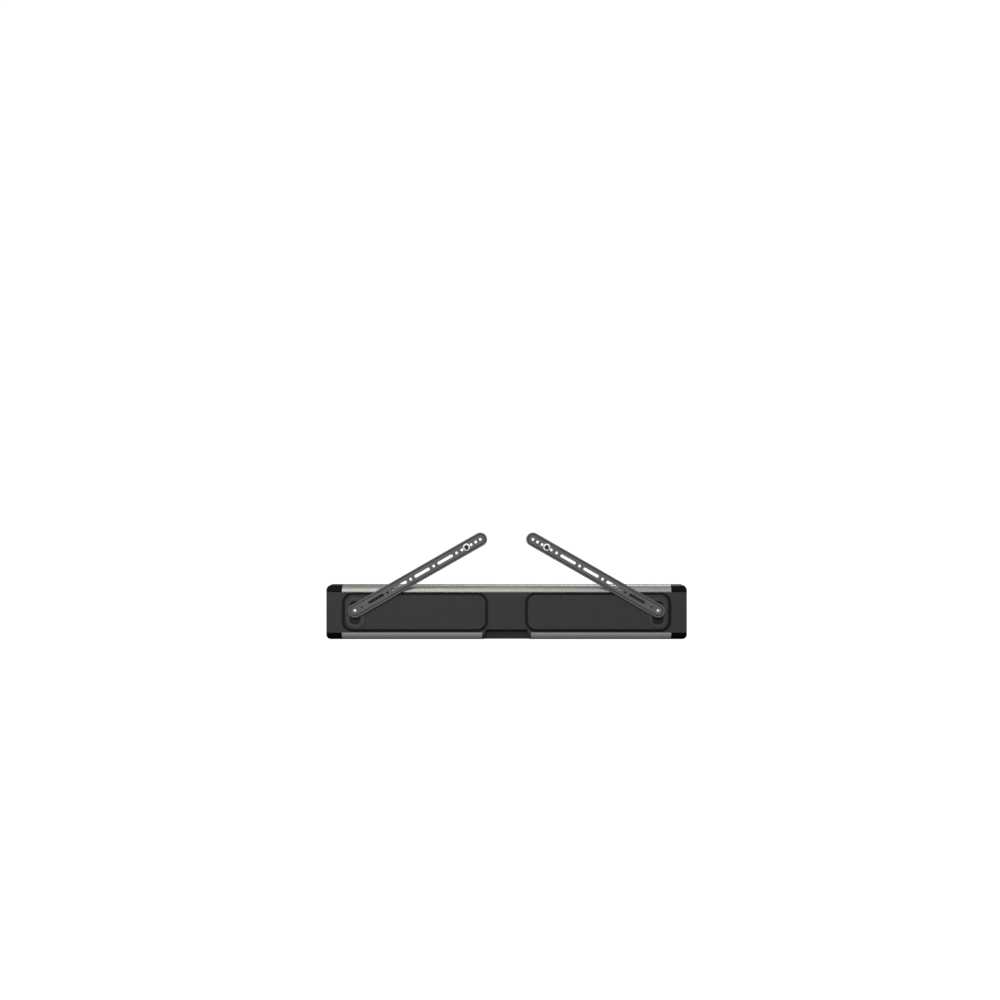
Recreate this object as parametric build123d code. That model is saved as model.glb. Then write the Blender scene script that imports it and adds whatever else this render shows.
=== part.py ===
from build123d import *
import math
import os

# A soundbar that hangs from the back of a television on two swinging bracket arms.
#
# Frame: X runs along the bar, Y from the front to the wall, Z up. Seen from the front, "left" is -X.
# The origin is at the middle of the bar's length and height, on the plane of the rubber foot pads'
# rear faces. The listener is on the -Y side, and the television or wall on the +Y side.
# All sizes are in millimetres.

# ---------------------------------------------------------------- the bar as a whole
BAR_LENGTH = 900.0
BAR_HEIGHT = 136.0
BAR_DEPTH = 85.0  # from the pads' rear faces to the front of the grille
REAR_SETBACK = 2.0  # the rear cover lies this far in front of the pads' rear faces
REAR_RADIUS = 17.5  # the long rear edges, which the aluminium trims wrap
FRONT_RADIUS = 24.0
END_CORNER_RADIUS = 12.0  # the end caps' corners, seen from behind
END_FRONT_RADIUS = 14.0  # the end caps' front corners, seen from above
SKIN = 3.0  # thickness of the outer layer: trims, grille and end caps
FIT = 0.2  # gap between nested shells
WALL = 3.0  # chassis walls and the rear cover

# ---------------------------------------------------------------- trims, grille and end caps
END_CAP_LENGTH = 39.0
TRIM_WRAP = 30.5  # the trims reach this far forward of the pads' rear faces
GRILLE_GAP = 0.5  # between the trims and the grille's folded edge
CLOTH = 0.8
TRIM_INNER_END = 61.0  # half the gap in the lower trim, at the cable bay
WINDOW_RADIUS = 10.0
WOOFER_WINDOW = 86.0
TWEETER_WINDOW = 52.0
WINDOW_MARGIN = 27.0  # frame left above and below the woofers' windows

# ---------------------------------------------------------------- foot pads and keyholes
PAD_GROOVE = 7.2  # open groove all round each pad
PAD_EDGE = 1.2  # from the groove to the rear cover's long edge
BAY_CLEARANCE = 2.4  # least wall between the cable bay's corner and a pad's recess
RECESS_DEPTH = 5.0
RECESS_FLOOR = 3.0
RECESS_RADIUS = 27.0
RECESS_BEVEL = 0.7
PAD_EDGE_ROUND = 0.8
KEYHOLE_INSET = 26.0  # from the pad's outer end to the keyhole's centre line
BEZEL_WIDTH = 49.0
BEZEL_MARGIN = 3.2  # rubber left above and below the bezel
BEZEL_RADIUS = 21.0
BEZEL_STEP = 0.4  # the bezel lies this far below the pad's face
BEZEL_FIT = 0.3
BEZEL_RIM_SIDE = 11.1  # from the bezel's outline to its window, at the sides
BEZEL_RIM_END = 9.9  # the same, above and below
KEY_WINDOW_RADIUS = 10.0
KEY_WINDOW_Z = -1.0
KEY_PLATE = 2.0
KEY_PLATE_MARGIN = 4.0  # of the plate behind the bezel, round the window
KEY_SLOT_WIDTH = 5.6
KEY_ENTRY_RADIUS = 6.2
PIVOT_Z = 4.0  # the hanger's seat, at the slot's upper end
KEY_TRAVEL = 16.0  # from the seat down to the entry hole
POCKET_DEPTH = 11.0
POCKET_WALL = 2.0

# ---------------------------------------------------------------- hanger: nut, screw and spacer
SCREW_RADIUS = 2.48
NUT_BORE = 2.5
NUT_RADIUS = 5.8  # to its corners
NUT_THICKNESS = 4.1
SPACER_RADIUS = 7.0
SPACER_BORE = 2.6
PIVOT_HEAD_RADIUS = 4.6
PIVOT_HEAD_HEIGHT = 2.8
SLIDE_GAP = 0.2  # between a moving face and the one it passes

# ---------------------------------------------------------------- bracket arms
ARM_GAP = 1.2  # the arm's front face stands this far behind the pads
ARM_HALF_WIDTH = 17.0
ARM_RIM = 4.0  # thickness at the outer rim
ARM_WEB = 2.0  # thickness at the bottom of the groove
ARM_LAND = 5.0  # thickness of the middle land
ARM_RIM_WIDTH = 4.2
ARM_LAND_HALF_WIDTH = 11.0
ARM_HOLE_RADIUS = 3.5
ARM_PIVOT_HOLE = 2.55
ARM_PIN_HOLE_AT = 19.5
ARM_PIN_HOLE_RADIUS = 2.2
ARM_SLOT_FIRST = 60.6
ARM_SLOT_LENGTH = 43.5
ARM_REPEAT = 66.0
ARM_TIP_PITCH = 13.2
ARM_HOLE_GAP = 10.0  # least distance between the last round hole and the first one of the tip's row
ARM_EDGE_ROUND = 0.7
TV_SPACING = 200.0  # between the two screws in the television's back
TV_RISE = 158.8  # of those screws above the keyholes' seats
TV_SCREW_RADIUS = 3.0
TV_NECK_RADIUS = 2.9  # where the screw passes through the arm
TV_THREAD_GAP = 0.2  # from the arm's front face to the thread
TV_SCREW_REACH = 15.0  # thread standing out of the arm towards the television
TV_HEAD_RADIUS = 5.0
TV_HEAD_HEIGHT = 6.0
TV_SOCKET_RADIUS = 2.9
TV_WASHER_RADIUS = 9.0
TV_WASHER_BORE = 3.2
TV_WASHER_THICKNESS = 1.6

# ---------------------------------------------------------------- cable bay
BAY_HEIGHT = 25.5  # from the bar's underside to the bay's ceiling
BAY_TOP_HALF = 52.0
BAY_BOTTOM_HALF = 58.0
BAY_CORNER = 4.0  # radius of the bay's upper corners
BAY_WALL = 1.8

# Sockets in the bay's ceiling: x and y of the middle, width along X and depth along Y.
SOCKETS = {
    "mains": (33.0, -16.0, 17.0, 9.4),
    "optical": (10.0, -16.0, 9.6, 9.6),
    "ethernet_1": (-10.0, -16.0, 13.0, 8.0),
    "ethernet_2": (-30.0, -16.0, 13.0, 8.0),
}
JACK_RISE = 14.0
JACK_ROOM = 12.0  # depth of each socket inside its jack
JACK_WALL = 1.4
INLET_PIN_RADIUS = 1.2
INLET_PIN_SPACING = 8.4
SHUTTER_THICKNESS = 0.8
SHUTTER_GAP = 0.4
SHUTTER_PIN_CLEARANCE = 0.06

# ---------------------------------------------------------------- chassis and its screws
CHASSIS_REAR = 12.0
BAFFLE_SETBACK = 11.0  # from the grille's front to the baffle's
BAFFLE_THICKNESS = 3.5
RIB_THICKNESS = 2.5
RIB_REAR = 34.5  # the ribs' rear edges lie this far in front of the pads' rear faces
BOSS_RADIUS = 4.0
PILOT_RADIUS = 1.3
THREAD_RADIUS = 1.28
SHANK_HOLE_RADIUS = 1.7
SCREW_HEAD_RADIUS = 2.6
SCREW_HEAD_HEIGHT = 1.6
COVER_SCREW_REACH = 11.0
COVER_SCREW_INSET = 8.0  # from the pad's long edge to a cover screw
CENTRE_SCREW_INSET = 12.4  # from a pad's inner end to the cover screws nearest the middle
CAP_SCREW_Y = -24.0
CAP_SCREW_INSET = 24.0  # from the bar's top and underside
CAP_SCREW_REACH = 14.0

# ---------------------------------------------------------------- drivers
WOOFER_COUNT = 6
WOOFER_PITCH = 95.0  # between neighbours, and from the middle of the bar to the first
WOOFER_FLANGE = 42.0  # radius
WOOFER_FLANGE_RING = 7.4
WOOFER_WALL = 1.5
FLANGE_THICKNESS = 2.0
BASKET_BACK_RADIUS = 20.0
MAGNET_RADIUS = 22.0
MAGNET_THICKNESS = 12.0
MAGNET_BACK = 36.5  # the magnets' rear faces lie this far in front of the pads' rear faces
COIL_RADIUS = 13.0
COIL_WALL = 0.5
COIL_GAP = 0.6
CONE_DEPTH = 11.0
CONE_WALL = 0.8
SURROUND_ROLL = 2.8
SURROUND_THICKNESS = 0.7
SURROUND_GAP = 0.4
DUST_CAP_THICKNESS = 0.8
TWEETER_PITCH = 80.0  # from the last woofer to the outer tweeter
TWEETER_FLANGE = 24.0
TWEETER_BODY = 16.0
TWEETER_DEPTH = 15.0
TWEETER_DOME = 10.0
TWEETER_WELL = 7.0  # depth of the well that the dome stands in
TWEETER_DOME_SETBACK = -1.5  # the dome stands this far proud of the flange
TWEETER_DOME_ROUND = 6.5

# ---------------------------------------------------------------- electronics
BOARD = 1.6
BOARD_STANDOFF = 2.0
STANDOFF_RADIUS = 3.0
MAIN_BOARD_X = (-205.0, -75.0)
AMP_BOARD_X = (75.0, 205.0)
POWER_BOARD_X = (222.0, 326.0)
SHIELD_HEIGHT = 4.0
SINK_BASE = 3.0
SINK_FIN = 9.0
SINK_FINS = 10
SENSOR_BOARD_HALF = 6.0
SENSOR_GAP = 4.0  # between the middle tweeter's flange and the sensor board
LIGHT_RADIUS = 1.5
IR_X = 12.0
IR_WIDTH = 8.0
IR_HEIGHT = 6.0

# ---------------------------------------------------------------- buttons on the right end
BUTTON_Y = -42.0
BUTTON_TRAVEL = 0.8
BUTTON_PROUD = 0.5
BUTTON_GAP = 0.35
BUTTON_FLANGE = 1.0
BUTTON_FLANGE_THICKNESS = 1.6
BUTTON_STEM = 3.0
MUTE_RADIUS = 6.0
VOLUME_WIDTH = 13.0
VOLUME_HEIGHT = 17.0
VOLUME_ROUND = 3.5
MUTE_Z = 27.0
VOLUME_UP_Z = 4.0
VOLUME_DOWN_Z = -17.0
SWITCH_HEIGHT = 3.0

# ---------------------------------------------------------------- places worked out from the sizes above
HALF_LENGTH = BAR_LENGTH / 2
TOP = BAR_HEIGHT / 2
PANEL_HALF = TOP - REAR_RADIUS  # half the height of the flat rear cover
TRIM_END = HALF_LENGTH - END_CAP_LENGTH
BAY_CEILING = -TOP + BAY_HEIGHT
BAY_FRONT = -TRIM_WRAP + BAY_WALL
PAD_HALF = PANEL_HALF - PAD_EDGE - PAD_GROOVE
RECESS_CORNER_Z = RECESS_RADIUS - PAD_HALF - PAD_GROOVE
RECESS_CORNER_X = BAY_TOP_HALF + math.sqrt(
    (RECESS_RADIUS + BAY_CLEARANCE) ** 2 - (RECESS_CORNER_Z - BAY_CEILING) ** 2
)
PAD_INNER_END = RECESS_CORNER_X - RECESS_RADIUS + PAD_GROOVE
PAD_OUTER_END = TRIM_END - PAD_GROOVE
PAD_LENGTH = PAD_OUTER_END - PAD_INNER_END
PAD_CENTRE = (PAD_OUTER_END + PAD_INNER_END) / 2
PIVOT_X = PAD_OUTER_END - KEYHOLE_INSET
BEZEL_HEIGHT = 2 * (PAD_HALF - BEZEL_MARGIN)
KEY_WINDOW_WIDTH = BEZEL_WIDTH - 2 * BEZEL_RIM_SIDE
KEY_WINDOW_HEIGHT = BEZEL_HEIGHT - 2 * BEZEL_RIM_END
KEY_ENTRY_Z = PIVOT_Z - KEY_TRAVEL
FLOOR_REAR = -REAR_SETBACK - RECESS_DEPTH
FLOOR_FRONT = FLOOR_REAR - RECESS_FLOOR
CHASSIS_OUTER = SKIN + FIT
CHASSIS_INNER = CHASSIS_OUTER + WALL
CHASSIS_END = TRIM_END - 2.0
BAFFLE_FRONT = BAR_DEPTH - BAFFLE_SETBACK
BAFFLE_REAR = BAFFLE_FRONT - BAFFLE_THICKNESS
COVER_SCREW_Z = PAD_HALF - COVER_SCREW_INSET
BOARD_HALF = COVER_SCREW_Z - BOSS_RADIUS - 2.0
BOARD_REAR = FLOOR_FRONT - BOARD_STANDOFF
BOARD_FRONT = BOARD_REAR - BOARD
ARM_BACK = ARM_GAP + ARM_LAND
ARM_TV_HOLE_AT = math.hypot(PIVOT_X - TV_SPACING / 2, TV_RISE)
ARM_REST_ANGLE = math.degrees(math.asin(TV_RISE / ARM_TV_HOLE_AT))  # above the horizontal
ARM_TIP_START = ARM_TV_HOLE_AT - ARM_TIP_PITCH - ARM_HOLE_GAP
ARM_REPEATS = int((ARM_TIP_START - ARM_SLOT_FIRST) / ARM_REPEAT + 0.5)
WOOFER_HOLE = WOOFER_FLANGE - WOOFER_FLANGE_RING
CONE_RADIUS = WOOFER_HOLE - 2 * SURROUND_ROLL
BASKET_DEPTH = BAFFLE_FRONT - MAGNET_BACK - MAGNET_THICKNESS
DRIVER_SCREW_CIRCLE = (WOOFER_FLANGE + WOOFER_HOLE) / 2
TWEETER_SCREW_CIRCLE = (TWEETER_FLANGE + TWEETER_BODY) / 2
WOOFER_XS = [side * WOOFER_PITCH * (step + 1) for side in (-1, 1) for step in range(WOOFER_COUNT // 2)]
OUTER_TWEETER_X = max(WOOFER_XS) + TWEETER_PITCH
TWEETER_XS = [-OUTER_TWEETER_X, 0.0, OUTER_TWEETER_X]
RIB_XS = [x + math.copysign(WOOFER_PITCH / 2, x) for x in WOOFER_XS]
CENTRE_SCREW_X = PAD_INNER_END + CENTRE_SCREW_INSET
COVER_SCREWS = [
    (x, z)
    for x in RIB_XS + [-CENTRE_SCREW_X, CENTRE_SCREW_X]
    for z in (-COVER_SCREW_Z, COVER_SCREW_Z)
]
CAP_SCREWS = [(CAP_SCREW_Y, side * (TOP - CAP_SCREW_INSET)) for side in (-1, 1)]  # y and z
SENSOR_Z = TWEETER_FLANGE + SENSOR_GAP + SENSOR_BOARD_HALF

parts = {}


# ---------------------------------------------------------------- shared shapes
def block(x0, x1, y0, y1, z0, z1):
    """A box between two corners."""
    corner = (Align.MIN, Align.MIN, Align.MIN)
    return Pos(x0, y0, z0) * Box(x1 - x0, y1 - y0, z1 - z0, align=corner)


def along_x(sketch, x0, x1):
    """A sketch drawn in Y and Z, carried from x0 to x1."""
    return extrude(Plane.YZ.offset(x0) * sketch, amount=x1 - x0)


def along_y(sketch, y0, y1):
    """A sketch drawn in X and Z, carried from y0 to y1."""
    return extrude(Plane.XZ.offset(-y1) * sketch, amount=y1 - y0)


def along_z(sketch, z0, z1):
    """A sketch drawn in X and Y, carried from z0 to z1."""
    return extrude(Plane.XY.offset(z0) * sketch, amount=z1 - z0)


def disc(x, z, radius, y0, y1):
    """A cylinder along Y."""
    return along_y(Pos(x, z) * Circle(radius), y0, y1)


def plate(x, z, width, height, radius, y0, y1):
    """A plate across Y with rounded corners."""
    return along_y(Pos(x, z) * RectangleRounded(width, height, radius), y0, y1)


def mirrored(shape):
    """The same shape on the other side of the bar's middle."""
    return mirror(shape, about=Plane.YZ)


def group(shapes):
    """Several separate solids as one sub-part."""
    return Compound(children=[solid for shape in shapes for solid in shape.solids()])


def bar_section(inset):
    """The bar's section across its length, in Y and Z, this far inside the outer surface."""
    rear = -REAR_SETBACK - inset
    front = -BAR_DEPTH + inset
    outline = Pos((rear + front) / 2, 0) * Rectangle(rear - front, 2 * (TOP - inset))
    outline = fillet(outline.vertices().group_by(Axis.X)[-1], REAR_RADIUS - inset)
    return fillet(outline.vertices().group_by(Axis.X)[0], FRONT_RADIUS - inset)


def bar_stretch(inset, x0, x1):
    """A solid stretch of the bar, this far inside the outer surface."""
    return along_x(bar_section(inset), x0, x1)


def envelope(inset):
    """The whole bar with its rounded ends, this far inside the outer surface."""
    end = HALF_LENGTH - inset
    seen_from_behind = RectangleRounded(2 * end, 2 * (TOP - inset), END_CORNER_RADIUS - inset)
    front = -BAR_DEPTH + inset
    seen_from_above = Pos(0, front / 2) * Rectangle(2 * end, -front)
    front_corners = seen_from_above.vertices().group_by(Axis.Y)[0]
    seen_from_above = fillet(front_corners, END_FRONT_RADIUS - inset)
    whole = bar_stretch(inset, -end, end)
    whole &= along_y(seen_from_behind, front, 0)
    return whole & along_z(seen_from_above, -TOP, TOP)


def bay_prism(grow):
    """The cable bay's space, grown by this much at its ceiling and sides."""
    low = -TOP - 1.0
    slope = (BAY_BOTTOM_HALF - BAY_TOP_HALF) / BAY_HEIGHT
    high = BAY_CEILING + grow
    wide = BAY_BOTTOM_HALF + slope * 1.0 + grow
    narrow = BAY_TOP_HALF + grow
    outline = Polygon((-wide, low), (wide, low), (narrow, high), (-narrow, high), align=None)
    outline = fillet(outline.vertices().group_by(Axis.Y)[-1], BAY_CORNER + grow)
    return along_y(outline, BAY_FRONT - grow, 1.0)


# ---------------------------------------------------------------- outer shells
def make_trims():
    """Three aluminium trims that wrap the long rear edges; the lower one is split by the cable bay."""
    shell = bar_section(0) - bar_section(SKIN)
    wrap = Pos(-TRIM_WRAP / 2, (TOP + PANEL_HALF) / 2) * Rectangle(TRIM_WRAP, TOP - PANEL_HALF)
    upper = shell & wrap
    lower = mirror(upper, about=Plane.XZ)
    parts["top_trim"] = along_x(upper, -TRIM_END, TRIM_END)
    parts["bottom_trim_left"] = along_x(lower, -TRIM_END, -TRIM_INNER_END)
    parts["bottom_trim_right"] = along_x(lower, TRIM_INNER_END, TRIM_END)


def make_grille():
    """A rigid grille frame with a window before each driver, and the cloth stretched over it."""
    reach = TRIM_END - FIT
    folded = block(-reach, reach, -BAR_DEPTH, -TRIM_WRAP - GRILLE_GAP, -TOP, TOP)
    parts["grille_cloth"] = (bar_stretch(0, -reach, reach) - bar_stretch(CLOTH, -reach, reach)) & folded
    frame = (bar_stretch(CLOTH, -reach, reach) - bar_stretch(SKIN, -reach, reach)) & folded
    front = (-BAR_DEPTH - 1.0, -BAR_DEPTH + SKIN + 1.0)
    height = BAR_HEIGHT - 2 * (WINDOW_MARGIN + CLOTH)
    for x in WOOFER_XS:
        frame -= plate(x, 0, WOOFER_WINDOW, height, WINDOW_RADIUS, *front)
    for x in TWEETER_XS:
        frame -= plate(x, 0, TWEETER_WINDOW, TWEETER_WINDOW, WINDOW_RADIUS, *front)
    frame -= disc(0, SENSOR_Z, LIGHT_RADIUS + FIT, *front)
    frame -= plate(IR_X, SENSOR_Z, IR_WIDTH, IR_HEIGHT, 1.0, *front)
    parts["grille_frame"] = frame


def end_cap():
    """The right end cap, hollow, with bosses for its two screws. The rear cover closes its back."""
    start = TRIM_END + FIT
    room = block(start, HALF_LENGTH, -BAR_DEPTH, 0, -TOP, TOP)
    behind_cover = block(start, HALF_LENGTH, -REAR_SETBACK - WALL - FIT, 0, -PANEL_HALF, PANEL_HALF)
    cap = (envelope(0) & room) - behind_cover
    cap -= envelope(SKIN)
    for y, z in CAP_SCREWS:
        boss = Pos(y, z) * Circle(BOSS_RADIUS)
        cap += along_x(boss, CHASSIS_END + FIT, HALF_LENGTH - SKIN)
        cap -= along_x(Pos(y, z) * Circle(PILOT_RADIUS), CHASSIS_END, CHASSIS_END + CAP_SCREW_REACH + 1.0)
    return cap


def make_end_caps():
    """The two end caps; the right one has openings for the three buttons."""
    right = end_cap()
    parts["end_cap_left"] = mirrored(right)
    through = (HALF_LENGTH - SKIN - 1.0, HALF_LENGTH + 1.0)
    for outline in button_outlines(BUTTON_GAP).values():
        right -= along_x(outline, *through)
    parts["end_cap_right"] = right


def pad_plate(grow, y0, y1):
    """The right pad's outline, grown by this much, as a plate."""
    radius = RECESS_RADIUS - PAD_GROOVE + grow
    width = PAD_LENGTH + 2 * grow
    height = 2 * (PAD_HALF + grow)
    return plate(PAD_CENTRE, 0, width, height, radius, y0, y1)


def key_plate(grow, y0, y1):
    """The right keyhole plate's outline, grown by this much."""
    width = KEY_WINDOW_WIDTH + 2 * (KEY_PLATE_MARGIN + grow)
    height = KEY_WINDOW_HEIGHT + 2 * (KEY_PLATE_MARGIN + grow)
    return plate(PIVOT_X, KEY_WINDOW_Z, width, height, KEY_WINDOW_RADIUS + grow, y0, y1)


def right_recess_solids():
    """What the right half of the rear cover gains behind its flat plate: the recess and the key pocket."""
    tub = pad_plate(PAD_GROOVE + WALL, FLOOR_FRONT, -REAR_SETBACK - WALL)
    pocket = key_plate(POCKET_WALL, FLOOR_REAR - KEY_PLATE - POCKET_DEPTH - POCKET_WALL, FLOOR_REAR)
    return tub + pocket


def recess_flare():
    """The bevel round the right recess's mouth."""
    radius = RECESS_RADIUS + RECESS_BEVEL
    width = PAD_LENGTH + 2 * (PAD_GROOVE + RECESS_BEVEL)
    mouth = Pos(PAD_CENTRE, 0) * RectangleRounded(width, 2 * (PAD_HALF + PAD_GROOVE + RECESS_BEVEL), radius)
    return extrude(Plane.XZ.offset(REAR_SETBACK) * mouth, amount=RECESS_BEVEL, taper=45)


def right_recess_cuts():
    """What is cut from the right half of the rear cover: the pad's recess and the key pocket."""
    recess = pad_plate(PAD_GROOVE, FLOOR_REAR, 1.0) + recess_flare()
    seat = key_plate(FIT, FLOOR_REAR - KEY_PLATE - 0.1, FLOOR_REAR + 1.0)
    hollow = key_plate(-1.5, FLOOR_REAR - KEY_PLATE - POCKET_DEPTH, FLOOR_REAR)
    return recess + seat + hollow


def make_rear_cover():
    """The rear cover: a flat plate over the whole length, with two pad recesses and the bay's notch."""
    cover_half = PANEL_HALF - FIT / 2
    flat = block(-HALF_LENGTH, HALF_LENGTH, -REAR_SETBACK - WALL, 0, -cover_half, cover_half)
    cover = envelope(0) & flat
    tubs = right_recess_solids()
    tubs += mirrored(tubs)
    tubs &= block(-HALF_LENGTH, HALF_LENGTH, -BAR_DEPTH, 0, -cover_half, cover_half)
    cover += tubs - bay_prism(BAY_WALL + FIT)
    for first, last in (MAIN_BOARD_X, AMP_BOARD_X, POWER_BOARD_X):
        for x in (first + 8.0, last - 8.0):
            for z in (-BOARD_HALF + 6.0, BOARD_HALF - 6.0):
                cover += disc(x, z, STANDOFF_RADIUS, BOARD_REAR, FLOOR_FRONT)
    cuts = right_recess_cuts()
    cover -= cuts
    cover -= mirrored(cuts)
    cover -= bay_prism(0)
    for x, z in COVER_SCREWS:
        cover -= disc(x, z, SHANK_HOLE_RADIUS, FLOOR_FRONT, FLOOR_REAR)
        cover -= disc(x, z, SCREW_HEAD_RADIUS + FIT, FLOOR_REAR - SCREW_HEAD_HEIGHT - 0.1, FLOOR_REAR)
    parts["rear_cover"] = cover


def make_foot_pads():
    """Rubber pads that keep the bar off a wall or table, each round its keyhole bezel."""
    pad = pad_plate(0, FLOOR_REAR, 0)
    face_edges = pad.faces().sort_by(Axis.Y)[-1].edges()
    pad = fillet(face_edges, PAD_EDGE_ROUND)
    pad -= bezel_plate(BEZEL_FIT, FLOOR_REAR - 1.0, 1.0)
    parts["foot_pad_right"] = pad
    parts["foot_pad_left"] = mirrored(pad)


def bezel_plate(grow, y0, y1):
    """The right keyhole bezel's outline, grown by this much."""
    width, height = BEZEL_WIDTH + 2 * grow, BEZEL_HEIGHT + 2 * grow
    return plate(PIVOT_X, 0, width, height, BEZEL_RADIUS + grow, y0, y1)


def make_keyholes():
    """Hard bezels set in the pads, and the slotted steel plates behind them."""
    bezel = bezel_plate(0, FLOOR_REAR, -BEZEL_STEP)
    outer_edges = bezel.faces().sort_by(Axis.Y)[-1].edges()
    bezel = fillet(outer_edges, 1.0)
    window = (KEY_WINDOW_WIDTH, KEY_WINDOW_HEIGHT, KEY_WINDOW_RADIUS)
    bezel -= plate(PIVOT_X, KEY_WINDOW_Z, *window, FLOOR_REAR - 1.0, 1.0)
    parts["keyhole_bezels"] = group([mirrored(bezel), bezel])

    steel = key_plate(0, FLOOR_REAR - KEY_PLATE, FLOOR_REAR)
    through = (FLOOR_REAR - KEY_PLATE - 1.0, FLOOR_REAR + 1.0)
    steel -= disc(PIVOT_X, KEY_ENTRY_Z, KEY_ENTRY_RADIUS, *through)
    slot_top = PIVOT_Z + KEY_SLOT_WIDTH / 2 + SLIDE_GAP
    half_slot = KEY_SLOT_WIDTH / 2
    straight = slot_top - half_slot
    x_range = (PIVOT_X - half_slot, PIVOT_X + half_slot)
    steel -= block(*x_range, *through, KEY_ENTRY_Z, straight)
    steel -= disc(PIVOT_X, straight, half_slot, *through)
    parts["keyhole_plates"] = group([mirrored(steel), steel])


def make_port_bay():
    """The moulded tub of the cable bay, with cheeks that close the ends of the split lower trim."""
    tub = bar_stretch(0, -TRIM_INNER_END, TRIM_INNER_END) & bay_prism(BAY_WALL)
    tub -= block(-HALF_LENGTH, HALF_LENGTH, -REAR_SETBACK - WALL - FIT, 1.0, -PANEL_HALF, TOP)
    tub &= block(-HALF_LENGTH, HALF_LENGTH, -TRIM_WRAP, 0, -TOP, TOP)
    cheek_end = TRIM_INNER_END - FIT
    cheeks = bar_stretch(0, -cheek_end, cheek_end) - bar_stretch(SKIN, -cheek_end, cheek_end)
    cheeks &= block(-cheek_end, cheek_end, -TRIM_WRAP, 0, -TOP, -PANEL_HALF)
    tub += cheeks
    tub -= bay_prism(0)
    for x, y, width, depth in SOCKETS.values():
        tub -= block(x - width / 2, x + width / 2, y - depth / 2, y + depth / 2,
                     BAY_CEILING - 1.0, BAY_CEILING + BAY_WALL + 1.0)
    parts["port_bay"] = tub


# ---------------------------------------------------------------- chassis
def make_chassis():
    """The moulded chassis: walls, baffle, ribs between the drivers, and screw bosses."""
    length = (-CHASSIS_END, CHASSIS_END)
    depth = block(*length, -BAFFLE_FRONT, -CHASSIS_REAR, -TOP, TOP)
    solid = bar_stretch(CHASSIS_OUTER, *length) & depth
    room = bar_stretch(CHASSIS_INNER, -CHASSIS_END + WALL, CHASSIS_END - WALL)
    chassis = solid - (room & block(*length, -BAFFLE_REAR, 0, -TOP, TOP))
    inside = bar_stretch(CHASSIS_INNER - 0.5, *length)
    for x in RIB_XS:
        rib = block(x - RIB_THICKNESS / 2, x + RIB_THICKNESS / 2,
                    -BAFFLE_REAR - 0.5, -RIB_REAR, -TOP, TOP)
        chassis += rib & inside
    for x, z in COVER_SCREWS:
        chassis += disc(x, z, BOSS_RADIUS, -BAFFLE_REAR - 0.5, FLOOR_FRONT)
        chassis -= disc(x, z, PILOT_RADIUS, FLOOR_FRONT - COVER_SCREW_REACH - 1.0, FLOOR_FRONT)
    through = (-BAFFLE_FRONT - 1.0, -BAFFLE_REAR + 1.0)
    for x in WOOFER_XS:
        chassis -= disc(x, 0, WOOFER_HOLE, *through)
    for x in TWEETER_XS:
        chassis -= disc(x, 0, TWEETER_BODY + FIT, *through)
    for x, z in driver_screw_places():
        chassis -= disc(x, z, PILOT_RADIUS, *through)
    chassis -= bay_prism(BAY_WALL + FIT)
    for y, z in CAP_SCREWS:
        hole = Pos(y, z) * Circle(SHANK_HOLE_RADIUS)
        chassis -= along_x(hole, CHASSIS_END - WALL - 1.0, CHASSIS_END + 1.0)
        chassis -= along_x(hole, -CHASSIS_END - 1.0, -CHASSIS_END + WALL + 1.0)
    parts["chassis"] = chassis


# ---------------------------------------------------------------- drivers
def turned(outline):
    """A sketch drawn with X as radius and Y as depth, turned about the Y axis."""
    return revolve(outline, axis=Axis.Y)


def ring_section(inner, outer, y0, y1):
    """A flat ring's half section, for turned()."""
    return Pos((inner + outer) / 2, (y0 + y1) / 2) * Rectangle(outer - inner, y1 - y0)


def driver_screw_places():
    """Where the drivers' screws go in the baffle, as x and z."""
    places = []
    for xs, circle in ((WOOFER_XS, DRIVER_SCREW_CIRCLE), (TWEETER_XS, TWEETER_SCREW_CIRCLE)):
        for x in xs:
            for turn in (45, 135, 225, 315):
                angle = math.radians(turn)
                places.append((x + circle * math.cos(angle), circle * math.sin(angle)))
    return places


def woofer_basket():
    """A pressed basket: mounting flange, sloping wall with four windows, and a back ring."""
    flange_front = -BAFFLE_FRONT - FLANGE_THICKNESS
    back = -BAFFLE_FRONT + BASKET_DEPTH
    neck = WOOFER_HOLE - FIT
    flange = turned(ring_section(neck - WOOFER_WALL, WOOFER_FLANGE, flange_front, -BAFFLE_FRONT))
    slope = Polygon(
        (neck - WOOFER_WALL, -BAFFLE_FRONT - 0.2), (neck, -BAFFLE_FRONT - 0.2),
        (BASKET_BACK_RADIUS + WOOFER_WALL, back), (BASKET_BACK_RADIUS, back), align=None)
    wall = turned(slope)
    for turn in (0, 90, 180, 270):
        window = block(BASKET_BACK_RADIUS + 1.0, neck + 2.0,
                       -BAFFLE_REAR + 1.0, back - 3.0, -9.0, 9.0)
        wall -= Rot(0, turn, 0) * window
    ring = turned(ring_section(COIL_RADIUS + COIL_GAP, BASKET_BACK_RADIUS + WOOFER_WALL,
                                 back - WOOFER_WALL, back))
    basket = flange + wall + ring
    for x, z in screw_circle(DRIVER_SCREW_CIRCLE):
        basket -= disc(x, z, SHANK_HOLE_RADIUS, flange_front - 1.0, -BAFFLE_FRONT + 0.5)
    return basket


def screw_circle(radius):
    """Four screw places round a driver's own axis."""
    turns = [math.radians(t) for t in (45, 135, 225, 315)]
    return [(radius * math.cos(t), radius * math.sin(t)) for t in turns]


def woofer_magnet():
    """Magnet and plates with the ring gap that the voice coil works in."""
    front = -BAFFLE_FRONT + BASKET_DEPTH
    magnet = disc(0, 0, MAGNET_RADIUS, front, front + MAGNET_THICKNESS)
    gap = ring_section(COIL_RADIUS - COIL_WALL - COIL_GAP, COIL_RADIUS + COIL_GAP,
                         front - 1.0, front + MAGNET_THICKNESS - 2.0)
    return magnet - turned(gap)


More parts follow.
